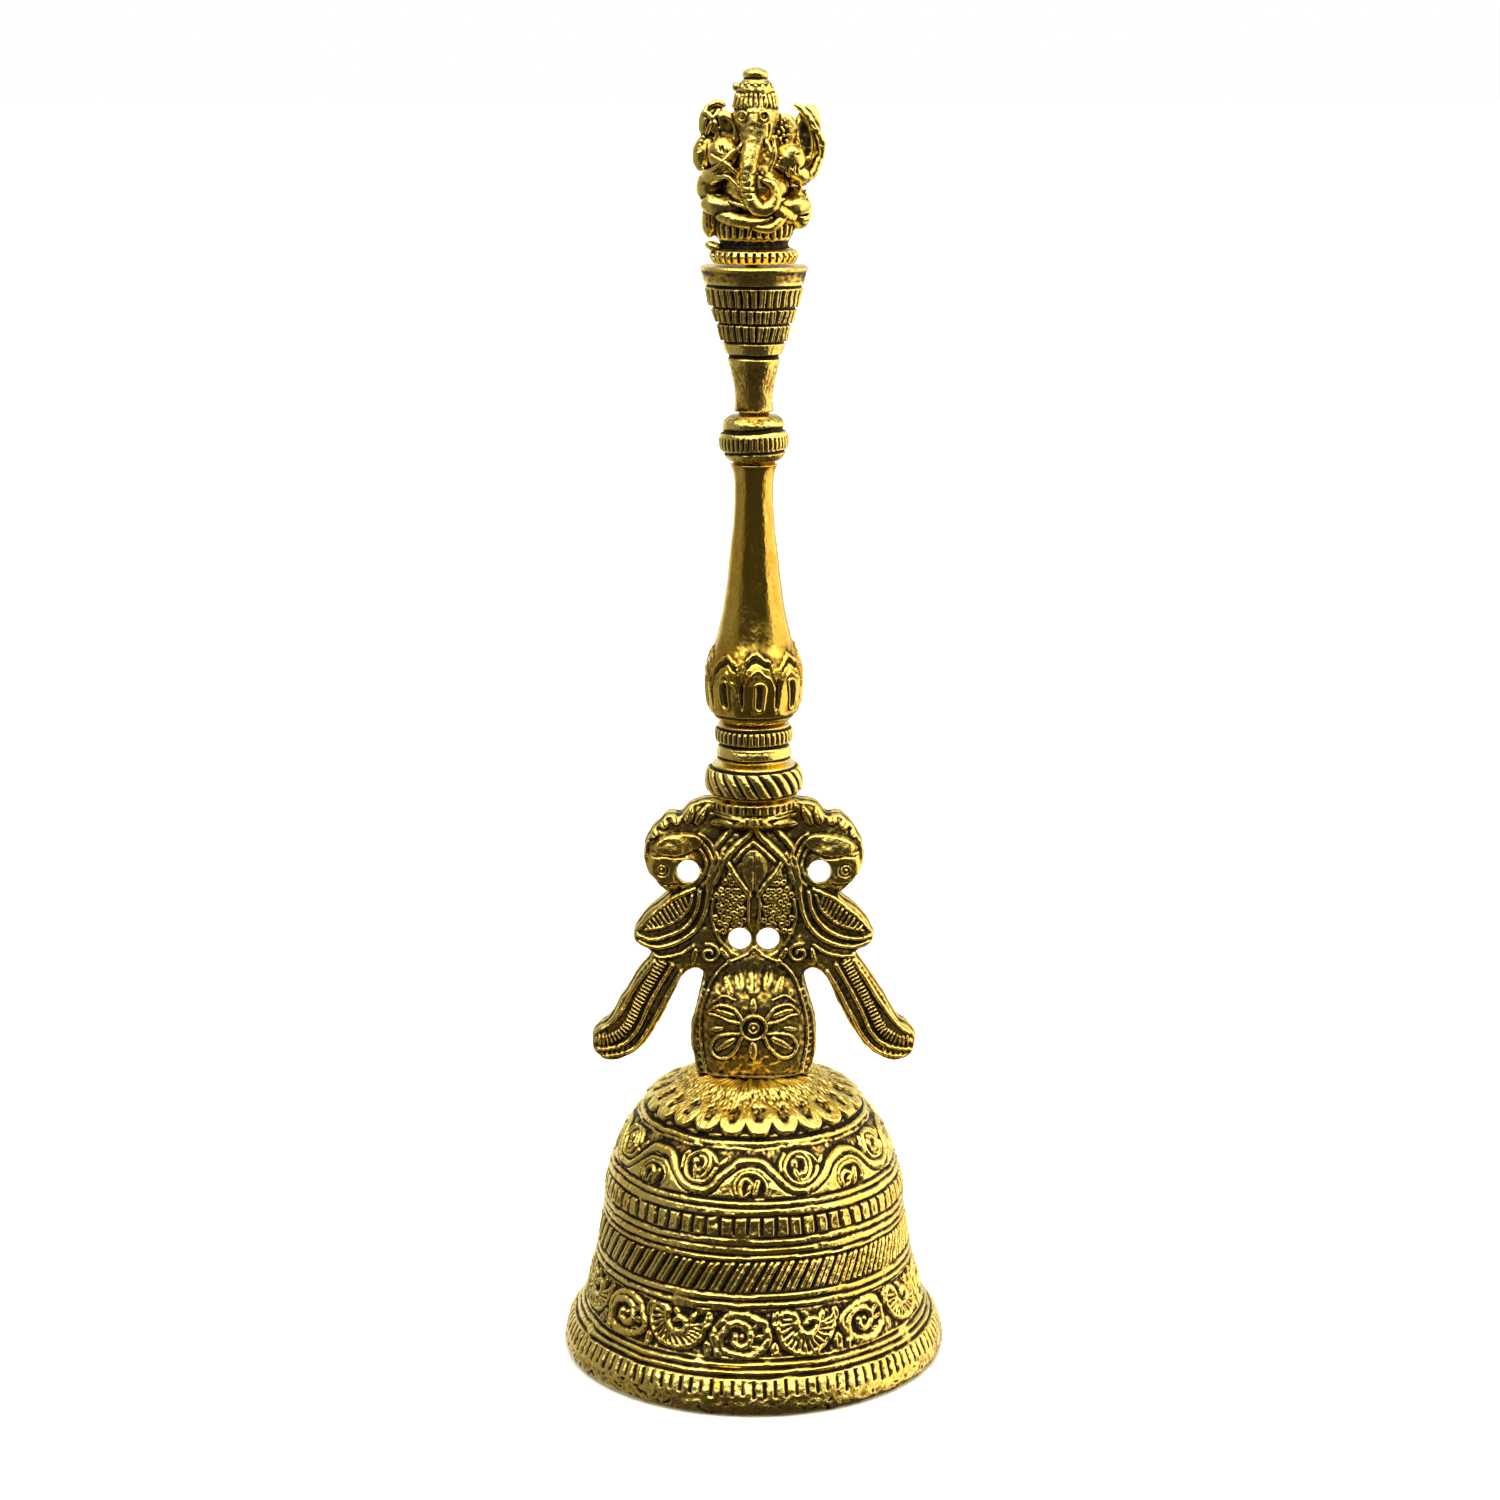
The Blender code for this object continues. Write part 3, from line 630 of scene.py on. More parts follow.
def grip_relief(a, r, z, outside):
    h = 0.5 * cast_skin(a, 41)
    t, k = cells(a + 0.045 * round_grain(a, 9, 8, 43), 8, -7 / 45)
    true_z, z = z, z + 0.35 * round_grain(a, 8, 9, 44) * band(z, 104.5, 116, 1.0)
    lean = np.abs(2 * t)
    # pointed lotus leaves with a smaller arch inside, deep slots between them and a long tongue in each
    jag = np.random.default_rng(4).uniform(-0.7, 0.7, (2, 8))[:, k]
    arch = 113.0 + jag[0] - 2.0 * np.abs(2 * t + 0.2 * jag[1]) - 3.0 * smooth(0.6, 1.0, lean)
    arch += 0.3 * np.sin(9 * math.pi * t) * lean
    inner = arch - 2.4 - 0.8 * lean
    body = z < arch
    window = smooth(103.6, 104.2, z)
    h += 0.28 * ridge(z - arch, 0.45) - 0.30 * ridge(z - arch + 0.85, 0.42)
    h += 0.18 * ridge(z - inner, 0.36) * (lean < 0.8)
    slot_width = 0.15 * np.clip(np.sin(math.pi * np.clip((z - 104.6) / 4.9, 0, 1)), 0, 1) ** 0.6 + 1e-3
    slot = ridge(1 - lean, slot_width) * band(z, 104.6, 109.4, 0.3)
    h -= 0.75 * slot
    tongue = np.hypot(t * 5.8, z - np.clip(z, 105.2, 108.4))
    well = ridge(tongue, 0.5)
    h += 0.2 * ridge(tongue - 0.72, 0.24) - 0.42 * well
    dark = 0.5 * slot + 0.3 * well + 0.08 * body * (z < 112) + 0.12 * (z < 104)
    h = h * window + 0.3 * groove(z, 103.1, 0.35)
    h += 0.7 * (1 - smooth(113, 116, z)) * cast_skin(a, 45, 0.03, 0.05)
    polish = smooth(113.5, 118, z)
    return ends_flat(h * (r > 2.2), true_z, 102.1, 141.5), dark - 0.10 * polish


def knop_relief(a, r, z, outside):
    h = cast_skin(a, 51, 0.03, 0.08)
    true_z, z = z, wobble(a, z, 53, 0.26)
    t, k = cells(a, 40)
    slot = ridge(t, 0.26) * np.random.default_rng(8).uniform(0.5, 1.1, 40)[k]
    h -= 0.30 * slot * band(z, 143.9, 145.7, 0.2)
    h += 0.42 * groove(z, 146.8, 0.42) + 0.32 * groove(z, 143.35, 0.3)
    return ends_flat(h * (r > 2.2), true_z, 142.1, 148.9), 0.05


def capital_relief(a, r, z, outside):
    h = cast_skin(a, 61)
    true_z, z = z, wobble(a, z, 63, 0.10)
    extra = np.zeros(a.shape) + 0.02
    rng = np.random.default_rng(9)
    for low, high, count, shift in ((165.2, 167.7, 34, 0.0), (162.8, 164.7, 32, 0.5),
                                    (160.0, 162.3, 30, 0.2)):
        t, k = cells(a + 0.01 * round_grain(a, 5, 6, int(low)), count, shift)
        deep = rng.uniform(0.6, 1.15, count)[k]
        window = band(z, low, high, 0.2)
        lean = t + 0.16 * (deep - 0.9) * (z - low)
        slot = ridge(np.abs(lean) - 0.5, 0.24)
        vein = ridge(lean, 0.1)
        lift = 0.22 * smooth(high, low, z) * (1 - 0.5 * np.abs(2 * t) ** 2)
        h += (lift * deep - 0.40 * slot * deep - 0.16 * vein + 0.05 * round_grain(a, 1.5, 1.8, 64)) * window
        extra += 0.06 * window
    for centre, half_width, depth in ((168.15, 0.32, 0.42), (165.0, 0.3, 0.45), (162.6, 0.28, 0.42),
                                      (159.85, 0.26, 0.35), (157.7, 0.42, 0.4)):
        h += depth * groove(z, centre, half_width)
    h -= 0.16 * band(z, 168.7, 170.5, 0.4)
    return ends_flat(h * (r > 2.2), true_z, 149.5, 171.2), extra


handle_piece("rope_ring", [(6.3, 90.3), (6.9, 90.6), (7.35, 91.3), (7.5, 92.4), (7.45, 93.4), (7.2, 94.3),
                           (6.8, 94.9), (6.3, 95.3)],
             rope_relief, "rope_collar", "collar_brass", 340)
handle_piece("beaded_ring", [(5.7, 95.9), (5.85, 96.5), (5.75, 97.3), (5.6, 97.9), (5.85, 98.7), (6.05, 99.4),
                             (6.05, 100.3), (5.85, 100.9), (5.5, 101.5)],
             beaded_relief, "beaded_collar", "collar_brass")
handle_piece("baluster",
             [(5.5, 102.1), (6.1, 102.7), (6.85, 103.5), (7.15, 104.6), (7.32, 106.2), (7.42, 108.2),
              (7.4, 110.0), (7.1, 111.2), (6.7, 112.4), (6.2, 113.6), (5.75, 115.0), (5.3, 116.9),
              (4.88, 118.8), (4.55, 120.6), (4.3, 122.4), (4.06, 124.3), (3.86, 126.2),
              (3.65, 128.2), (3.42, 130.2), (3.2, 132.2), (3.05, 134.2), (2.97, 136.2),
              (2.97, 138.2), (3.08, 139.7), (3.32, 140.7), (3.65, 141.5)],
             grip_relief, "baluster_grip", "grip_brass", 320, 0.13)
handle_piece("knop", [(3.9, 142.1), (4.3, 142.5), (4.8, 143.2), (5.2, 144.1), (5.32, 145.0), (5.2, 145.9),
                      (4.9, 146.6), (4.72, 147.2), (4.6, 147.9), (4.1, 148.5), (3.5, 148.9)],
             knop_relief, "ringed_knop", "collar_brass", 280)
handle_piece("capital",
             [(3.0, 149.5), (2.88, 150.2), (2.86, 151.6), (3.08, 153.5), (3.46, 155.2), (3.9, 156.8),
              (4.3, 158.2), (4.75, 159.7), (5.1, 160.8), (5.5, 161.9), (5.85, 163.1),
              (6.35, 164.3), (6.65, 165.4), (7.0, 166.5), (7.4, 167.8), (7.75, 169.0),
              (8.05, 170.2), (8.15, 170.8), (7.9, 171.2)],
             capital_relief, "leaf_capital", "capital_brass")


# ---------------------------------------------------------------- solids from distance fields

def surface_net(field, origin, step):
    """Vertices in mm and quads round the zero level of a field that is negative inside."""
    inside = field < 0
    corners = [(i, j, k) for i in (0, 1) for j in (0, 1) for k in (0, 1)]
    size = [n - 1 for n in field.shape]
    count = np.zeros(size, np.int8)
    for i, j, k in corners:
        count += inside[i:i + size[0], j:j + size[1], k:k + size[2]]
    active = np.nonzero((count > 0) & (count < len(corners)))
    value = {c: field[active[0] + c[0], active[1] + c[1], active[2] + c[2]] for c in corners}
    total = np.zeros((len(active[0]), 3))
    hits = np.zeros(len(active[0]))
    for c in corners:
        for axis in range(3):
            if c[axis]:
                continue
            d = tuple(c[n] + (n == axis) for n in range(3))
            va, vb = value[c], value[d]
            cross = (va < 0) != (vb < 0)
            t = np.where(cross, va / np.where(cross, va - vb, 1), 0)
            for n in range(3):
                total[:, n] += np.where(cross, c[n] + (t if n == axis else 0), 0)
            hits += cross
    verts = np.array(origin) + step * (np.column_stack(active) + total / hits[:, None])
    index = np.full(size, -1, np.int32)
    index[active] = np.arange(len(verts))
    quads = []
    for axis in range(3):
        a, b = [n for n in range(3) if n != axis]
        lo = [slice(1, n - 1) for n in field.shape]
        hi = list(lo)
        lo[axis], hi[axis] = slice(0, field.shape[axis] - 1), slice(1, field.shape[axis])
        first, second = inside[tuple(lo)], inside[tuple(hi)]
        for flip in (False, True):
            found = np.nonzero((~first & second) if flip else (first & ~second))
            at = [f + (0 if n == axis else 1) for n, f in enumerate(found)]
            ring = []
            for da, db in ((1, 1), (0, 1), (0, 0), (1, 0)):
                cell = list(at)
                cell[a], cell[b] = at[a] - da, at[b] - db
                ring.append(index[tuple(cell)])
            quad = np.stack(ring, -1)
            outward = flip == (axis == 1)
            quads.append(quad if outward else quad[:, ::-1])
    return largest_shell(verts, np.vstack(quads))


def largest_shell(verts, quads):
    """Only the outer shell: loose specks and closed hollows inside are left out."""
    ends = np.sort(np.vstack([quads[:, [k, (k + 1) % 4]] for k in range(4)]), axis=1)
    edge = ends[:, 0].astype(np.int64) * len(verts) + ends[:, 1]
    order = np.argsort(edge, kind="stable")
    shared = edge[order[1:]] == edge[order[:-1]]
    pair = shared.copy()                    # edges of exactly two quads, not where two sheets touch
    pair[1:] &= ~shared[:-1]
    pair[:-1] &= ~shared[1:]
    face = order % len(quads)
    one, two = face[:-1][pair], face[1:][pair]
    group = np.arange(len(quads))
    while True:
        low, high = np.minimum(group[one], group[two]), np.maximum(group[one], group[two])
        apart = low < high
        if not apart.any():
            break
        one, two = one[apart], two[apart]
        np.minimum.at(group, high[apart], low[apart])
        while (group[group] != group).any():
            group = group[group]
    quads = quads[group == np.bincount(group).argmax()]
    used = np.zeros(len(verts), bool)
    used[quads.ravel()] = True
    return verts[used], (np.cumsum(used) - 1)[quads]


def mesh_hollows(verts, quads, rounds):
    """How far each vertex lies below its smoothed neighbourhood, in mm, after each count of smoothing rounds.

    The vertex normals come with it.
    """
    a, b, c, d = (verts[quads[:, k]] for k in range(4))
    face = np.cross(c - a, d - b)
    normal = np.zeros(verts.shape)
    for k in range(4):
        for n in range(3):
            normal[:, n] += np.bincount(quads[:, k], face[:, n], len(verts))
    normal /= np.linalg.norm(normal, axis=1)[:, None] + 1e-12
    ends = np.vstack([quads[:, [k, (k + 1) % 4]] for k in range(4)])
    degree = np.bincount(ends.ravel(), minlength=len(verts))[:, None]
    soft, out, done = verts.copy(), [], 0
    for target in rounds:
        while done < target:
            nxt = np.zeros(verts.shape)
            for n in range(3):
                nxt[:, n] = (np.bincount(ends[:, 0], soft[ends[:, 1], n], len(verts))
                             + np.bincount(ends[:, 1], soft[ends[:, 0], n], len(verts)))
            soft = nxt / degree
            done += 1
        out.append(((soft - verts) * normal).sum(1))
    return out, normal


def polygon_distance(x, z, poly):
    """Distance to a closed outline, positive inside."""
    best = np.full(x.shape, 1e9)
    inside = np.zeros(x.shape, bool)
    for (x0, z0), (x1, z1) in zip(poly, np.roll(poly, -1, axis=0)):
        dx, dz = x1 - x0, z1 - z0
        t = np.clip(((x - x0) * dx + (z - z0) * dz) / max(dx * dx + dz * dz, 1e-12), 0, 1)
        best = np.minimum(best, (x - x0 - t * dx) ** 2 + (z - z0 - t * dz) ** 2)
        if dz:
            inside ^= ((z0 > z) != (z1 > z)) & (x < dx * (z - z0) / dz + x0)
    return np.where(inside, 1, -1) * np.sqrt(best)


# ---------------------------------------------------------------- the peacock bracket

BRACKET_STEP = 0.19
BRACKET_FOOT = 45.05     # sunk a little into the cup's crown
BRACKET_TOP = 90.2
# The right half of the outline, from the top shoulder down to the foot.
BRACKET_HALF = [(6.6, 89.9), (8.4, 89.6), (10.0, 88.9), (11.4, 87.4), (12.3, 87.6), (13.6, 87.4),
                (14.6, 86.3), (15.9, 84.9), (16.9, 82.6), (17.1, 80.3), (16.6, 78.3), (15.4, 76.8),
                (14.0, 75.4), (13.3, 74.8), (14.2, 73.9), (15.9, 72.5), (17.5, 70.7), (18.7, 68.7),
                (18.7, 67.1), (17.6, 66.1), (16.2, 65.3), (16.3, 64.4), (17.6, 62.8), (19.6, 59.7),
                (21.4, 56.6), (22.9, 54.2), (24.3, 53.3), (25.3, 51.9), (25.5, 50.2), (24.8, 48.4),
                (23.2, 47.5), (21.2, 47.5), (18.8, 48.6), (16.8, 50.6), (15.0, 53.4), (13.1, 57.0),
                (11.4, 60.6), (10.2, 62.1), (8.9, 62.5), (8.0, 61.4), (8.6, 58.6), (9.5, 54.8), (9.95, 51.0),
                (9.6, 47.8), (8.9, 45.3)]


def peacock_head(art):
    """Brow band, face lines, eye, beak, crest and the lines round the neck."""
    cheek = 0.62 * smooth(3.9, 2.4, np.hypot(art.u - 13.4, art.v - 79.0)) * (art.v > 75.4)
    brow = np.hypot((art.u - 11.6) / 4.3, (art.v - 82.9 + 0.09 * (art.u - 11.6)) / 1.75)
    art.height = np.maximum.reduce([art.height, cheek, 0.85 * smooth(1.06, 0.8, brow)])
    art.cut(curve([(9.8, 81.3), (11.9, 81.0), (13.8, 81.2), (15.6, 81.0)]), 0.26, 0.4, taper=0.5)
    art.cut(curve([(7.4, 83.4), (9.4, 85.0), (11.8, 85.3), (14.2, 84.6), (16.2, 82.4)]), 0.3, 0.45)
    for radius in (0.95, 0.4):
        art.cut(arc(14.2, 78.9, radius, radius, 0, 2, 20), 0.2, 0.3)
    art.cut(curve([(11.9, 76.7), (13.6, 76.4), (15.8, 77.1)]), 0.26, 0.4)
    for tip, base in (((7.4, 88.9), (8.9, 85.8)), ((9.6, 88.8), (10.4, 86.0)), ((12.2, 87.7), (11.9, 85.8)),
                      ((14.4, 86.6), (13.6, 85.2)), ((16.0, 85.0), (15.1, 84.0))):
        art.leaf(tip, base, 0.9, 0.6)
    for radius, start, stop in ((3.0, 1.75, 4.1), (4.0, 1.75, 4.1), (5.0, 2.0, 3.7)):
        neck = arc(10.4, 79.6, radius, radius * 1.05, start / math.pi, stop / math.pi, 14)
        art.flow(neck, 0.36, 0.5)


def wing(art):
    """Double rim, inner rim, top edge and the ribs of the fan, with three straps from the middle."""
    art.flow([(7.2, 75.4), (7.6, 71.9), (9.2, 68.9), (12.2, 66.9), (15.6, 66.2), (17.9, 66.9)], 0.46, 0.62)
    art.flow([(8.5, 75.0), (8.9, 72.3), (10.4, 69.8), (13.0, 68.2), (16.0, 67.5), (18.2, 68.1)], 0.40, 0.55)
    art.flow([(9.6, 74.6), (10.1, 72.7), (11.6, 70.9), (13.9, 69.7), (16.8, 69.0)], 0.30, 0.45)
    art.flow([(9.4, 75.6), (11.6, 74.6), (13.6, 73.3), (15.8, 71.6), (17.9, 69.3)], 0.44, 0.6)
    top = curve([(10.6, 74.6), (12.2, 73.5), (14.0, 72.3), (15.8, 70.9), (17.2, 69.6)])
    low = curve([(10.3, 73.2), (11.5, 71.4), (13.4, 70.2), (15.2, 69.6), (16.8, 69.2)])
    for k in np.linspace(0.03, 0.95, 11):
        art.stroke([top[int(k * (len(top) - 1))], low[int(k * (len(low) - 1))]], 0.24, 0.42)
    for shift in (0.0, 1.15, 2.3):
        art.flow([(3.9 + shift * 0.8, 81.8 - shift * 0.2), (5.4 + shift * 0.6, 79.0),
                  (6.6 + shift * 0.3, 76.2), (6.9 + shift * 0.2, 74.2)], 0.34, 0.5)


def lattice(art):
    """The diamond between the necks and the leaves over it."""
    art.stroke([(-0.3, 85.8), (2.2, 83.3), (4.6, 80.6)], 0.62, 0.66)
    art.stroke([(-0.3, 83.8), (1.6, 82.1), (3.0, 80.5)], 0.42, 0.52)
    art.flow([(4.4, 80.6), (3.2, 78.4), (1.6, 76.4), (0.7, 75.0)], 0.5, 0.55)
    art.stroke([(1.7, 87.2), (3.8, 85.0), (5.8, 82.4)], 0.55, 0.6)
    art.leaf((0, 75.8), (0, 82.4), 2.3, 0.42)
    art.leaf((0, 88.0), (0, 85.9), 1.0, 0.42)
    art.cut([(0, 75.6), (0, 69.6)], 0.42, 0.4)
    art.leaf((6.6, 86.2), (3.0, 86.4), 1.2, 0.5)
    art.leaf((1.2, 87.6), (6.2, 88.1), 0.5, 0.42)


def chest(art, seed):
    """A panel of punched rings between two borders, and the leaf curls under it."""
    art.flow([(0.55, 76.0), (1.0, 73.2), (0.8, 70.4)], 0.28, 0.4)
    art.flow([(6.4, 74.0), (6.5, 71.0), (5.6, 68.0), (4.6, 66.6)], 0.3, 0.45)
    rng = np.random.default_rng(seed)
    row_height = 0.98
    for z in np.arange(69.0, 79.2, row_height):
        odd_row = int(z / row_height) % 2
        for u in np.arange(1.7, 6.2, 1.0):
            at = u + rng.uniform(-0.22, 0.22) + 0.45 * odd_row, z + rng.uniform(-0.22, 0.22)
            above = max(0, at[1] - 75.0)
            if 1.1 + 0.55 * above < at[0] < 6.0 - 0.5 * above:
                art.ring(*at, 0.34, 0.2, 0.46)
    art.flow(spiral(7.0, 65.3, 1.7, 0.4, 1.3, 0.4), 0.32, 0.5)
    art.leaf((3.4, 63.2), (5.2, 66.2), 0.55, 0.5)
    art.leaf((9.6, 63.4), (9.0, 66.2), 0.5, 0.5)
    art.flow([(9.4, 66.6), (11.6, 65.2), (14.6, 64.7), (16.0, 65.0)], 0.34, 0.5)
    art.flow([(0.0, 66.1), (1.8, 65.1), (3.0, 66.0)], 0.3, 0.45)


def stem_face(art):
    """Border lines, grass at the top, the rosette with its leaves, and a row of dots."""
    art.flow([(1.2, 65.0), (4.2, 63.6), (6.4, 61.3), (7.7, 58.0), (8.4, 54.0), (8.3, 50.0), (7.6, 46.2)], 0.3,
             0.42)
    border = curve([(2.4, 65.3), (5.4, 63.6), (7.4, 61.0), (8.6, 57.4), (9.2, 53.2), (9.1, 49.0),
                    (8.5, 46.0)])
    art.cut(border, 0.24, 0.3)
    for tip, base, width in (((0, 63.9), (0, 58.7), 1.4), ((2.6, 63.2), (1.9, 59.4), 0.8),
                             ((4.4, 61.6), (3.5, 58.6), 0.7), ((6.0, 59.6), (5.0, 57.4), 0.5)):
        art.leaf(tip, base, width, 0.15)
    art.ring(0, 53.9, 0.75, 0.26, 0.5)
    art.ring(0, 53.9, 1.95, 0.30, 0.55)
    art.dot(0, 53.9, 0.36, 0.45)
    art.flow([(2.0, 55.3), (3.4, 57.0), (5.6, 57.3), (7.2, 56.0)], 0.34, 0.45, taper=0.3)
    art.flow([(2.3, 54.6), (4.0, 54.9), (5.8, 55.6), (7.1, 55.7)], 0.3, 0.42, taper=0.3)
    art.leaf((6.3, 56.5), (2.9, 55.6), 0.5, 0.36)
    art.flow([(1.7, 52.3), (2.6, 50.2), (4.2, 48.8), (6.0, 48.8), (6.8, 50.3), (6.0, 52.0), (4.2, 52.6),
              (2.3, 52.8)],
             0.3, 0.42)
    art.leaf((5.9, 49.9), (2.7, 51.9), 0.6, 0.4)
    art.leaf((0, 58.4), (0, 56.3), 0.7, 0.45)
    art.leaf((0, 48.4), (0, 51.4), 0.8, 0.45)
    art.leaf((6.9, 53.2), (4.6, 53.5), 0.5, 0.4)
    art.flow([(3.0, 58.2), (4.8, 58.8), (6.4, 57.8)], 0.22, 0.35)
    for z in np.arange(46.8, 60.0, 1.15):
        art.dot(8.75 - 0.02 * (z - 52) ** 2, z, 0.26, 0.3)


def plume(art):
    """Long ribs that hook up at the tip, a hatched one between them, and nicks along the edges."""
    art.flow([(15.6, 63.9), (17.9, 60.6), (20.2, 56.9), (22.3, 54.0), (24.4, 52.4)], 0.42, 0.55)
    middle = curve([(14.2, 64.0), (16.4, 60.2), (18.5, 56.3), (20.2, 52.9), (22.4, 51.3), (24.6, 51.0)])
    art.stroke(middle, 0.5, 0.32)
    for p, q in zip(middle[2:-2:5], middle[3:-1:5]):
        across = np.array([q[1] - p[1], p[0] - q[0]]) / np.hypot(*(q - p)) * 0.6
        art.stroke([p - across, p + across], 0.2, 0.66)
    art.flow([(12.8, 63.4), (14.8, 59.9), (16.8, 56.0), (18.5, 52.4), (20.8, 50.2), (24.6, 49.5)], 0.4, 0.55)
    art.flow([(11.4, 62.3), (13.4, 58.6), (15.4, 54.9), (17.4, 51.3), (19.9, 49.0), (23.6, 48.3)], 0.4, 0.55)
    edge = curve([(16.2, 63.6), (18.7, 60.3), (20.9, 56.8), (23.0, 53.8)])
    for p, q in zip(edge[4::8], edge[5::8]):
        across = np.array([p[1] - q[1], q[0] - p[0]])
        art.cut([p - (q - p) * 3, p + across * 7 + (q - p) * 3], 0.2, 0.3)
    for k in range(6):
        art.cut([(20.4 + 0.8 * k, 48.2 + 0.05 * k), (20.0 + 0.75 * k, 50.2 + 0.1 * k)], 0.16, 0.25)


def bracket_art(u, z, seed):
    """Relief of one half of the bracket, u running outwards from its middle line."""
    art = Relief(u, z)
    peacock_head(art)
    wing(art)
    lattice(art)
    chest(art, seed)
    stem_face(art)
    plume(art)
    return art.height


BRACKET_HOLES = [(10.2, 77.8), (-10.2, 77.8), (2.2, 66.9), (-2.2, 66.9)]
HOLE_RADIUS = 1.78
HOLE_SLOPE = 0.25        # hand-drilled, falling towards the back


def bracket_face(x, z, depth, seed):
    """How far one face stands out from the middle plane; depth is the distance from the outline."""
    warp = [0.17 * grain(x.shape, (7, 7), seed + k) for k in (0, 10)]
    art = bracket_art(np.abs(x + warp[0]), z + warp[1], seed)
    plate = 1.5 + 1.5 * np.sqrt(np.clip(1 - (1 - np.clip(depth / 1.5, 0, 1)) ** 2, 0, 1))
    stem = 5.3 * np.sqrt(np.clip(1 - (x / 10.2) ** 2, 0, 1)) * (1 - smooth(56.0, 69.5, z))
    breast = 4.7 * np.sqrt(np.clip(1 - (x / 10.4) ** 2 - ((z - 77.6) / 12.0) ** 2, 0, 1))
    head = 3.9 * np.sqrt(np.clip(1 - ((np.abs(x) - 12.6) / 6.2) ** 2 - ((z - 80.4) / 7.4) ** 2, 0, 1))
    boss = np.sqrt(np.clip(6.7 ** 2 - x ** 2, 0, None)) * smooth(84.0, 86.6, z)
    body = np.maximum.reduce([plate, stem, breast, head, boss])
    body = blur(body, (0.35 / BRACKET_STEP, 0.35 / BRACKET_STEP), (False, False))
    h = (art - 0.40) * smooth(0.15, 0.75, depth)
    # the boss: a row of slots between two grooves
    t = np.arcsin(np.clip(x / 6.8, -1, 1)) * 34 / TAU
    h -= 0.28 * ridge(t - np.round(t), 0.25) * band(z, 88.2, 89.4, 0.2) * (np.abs(x) < 6.4)
    h += 0.3 * (groove(z, 87.9, 0.25) + groove(z, 89.65, 0.25)) * (np.abs(x) < 6.6)
    return body + h + 0.08 * grain(x.shape, (1.3, 1.3), seed + 2) + 0.11 * grain(x.shape, (4, 4), seed + 3)


def make_bracket():
    x = np.arange(-26.0, 26.0 + BRACKET_STEP, BRACKET_STEP)
    y = np.arange(-7.3, 7.3 + BRACKET_STEP, BRACKET_STEP)
    z = np.arange(44.7, 90.6, BRACKET_STEP)
    xx, zz = np.meshgrid(x, z, indexing="ij")
    right = curve(BRACKET_HALF, 0.4)
    outline = np.vstack([right, right[::-1] * (-1, 1)])
    inset = polygon_distance(xx, zz, outline)
    depth = inset
    for hx, hz in BRACKET_HOLES:
        depth = np.minimum(depth, np.hypot(xx - hx, zz - hz) - HOLE_RADIUS)
    front, back = [bracket_face(xx, zz, depth, seed)[:, None, :] for seed in (71, 72)]
    across = y[None, :, None]
    level = np.where(across < 0, -across - front, across - back)
    # the edge: a little rough, and widest along the mould's parting line
    parting = 0.22 * smooth(0.15, 0.6, np.abs(y + 0.1))[:, None] + 0.1 * grain((len(y), len(z)), (3, 3), 75)
    rim = 0.12 * grain(xx.shape, (2.2, 2.2), 76) - inset
    field = np.maximum(level, rim[:, None, :] + parting[None, :, :])
    for hx, hz in BRACKET_HOLES:
        near = np.hypot(xx - hx, zz - hz)[:, None, :] < 4
        off_axis = np.hypot((xx - hx)[:, None, :], (zz - hz)[:, None, :] + HOLE_SLOPE * across)
        field = np.where(near, np.maximum(field, HOLE_RADIUS - off_axis), field)
    field = np.maximum(field, np.maximum(BRACKET_FOOT - zz, zz - BRACKET_TOP)[:, None, :])
    verts, quads = surface_net(field.astype(np.float32), (x[0], y[0], z[0]), BRACKET_STEP)
    (fine, broad), normal = mesh_hollows(verts, quads, (2, 9))
    side, height = np.abs(verts[:, 0]), verts[:, 2]
    patina_and_painted_light = 0.31 + fine / 0.05 + broad / 0.24 + 0.10 * (np.abs(normal[:, 1]) < 0.4)
    # the heads are partly worn bright and partly carry a painted highlight
    patina_and_painted_light -= 0.36 * smooth(5.8, 3.2, np.hypot(side - 13.2, height - 80.0))     # heads worn bright
    # painted shade: the top of the stem is darkened
    patina_and_painted_light += 0.13 * band(height, 57.5, 64.5, 1.5) * (side < 8)                 # dark top of the stem
    # painted shade where the bracket's foot meets the cup's crown
    foot = smooth(46.2, 45.7, height)
    patina_and_painted_light = patina_and_painted_light * (1 - foot) + 0.62 * foot
    obj = add_piece("peacocks", verts, quads, patina_and_painted_light, "bracket_brass")
    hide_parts("peacock_bracket")
    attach(obj, "bell")


make_bracket()


# ---------------------------------------------------------------- the elephant figure

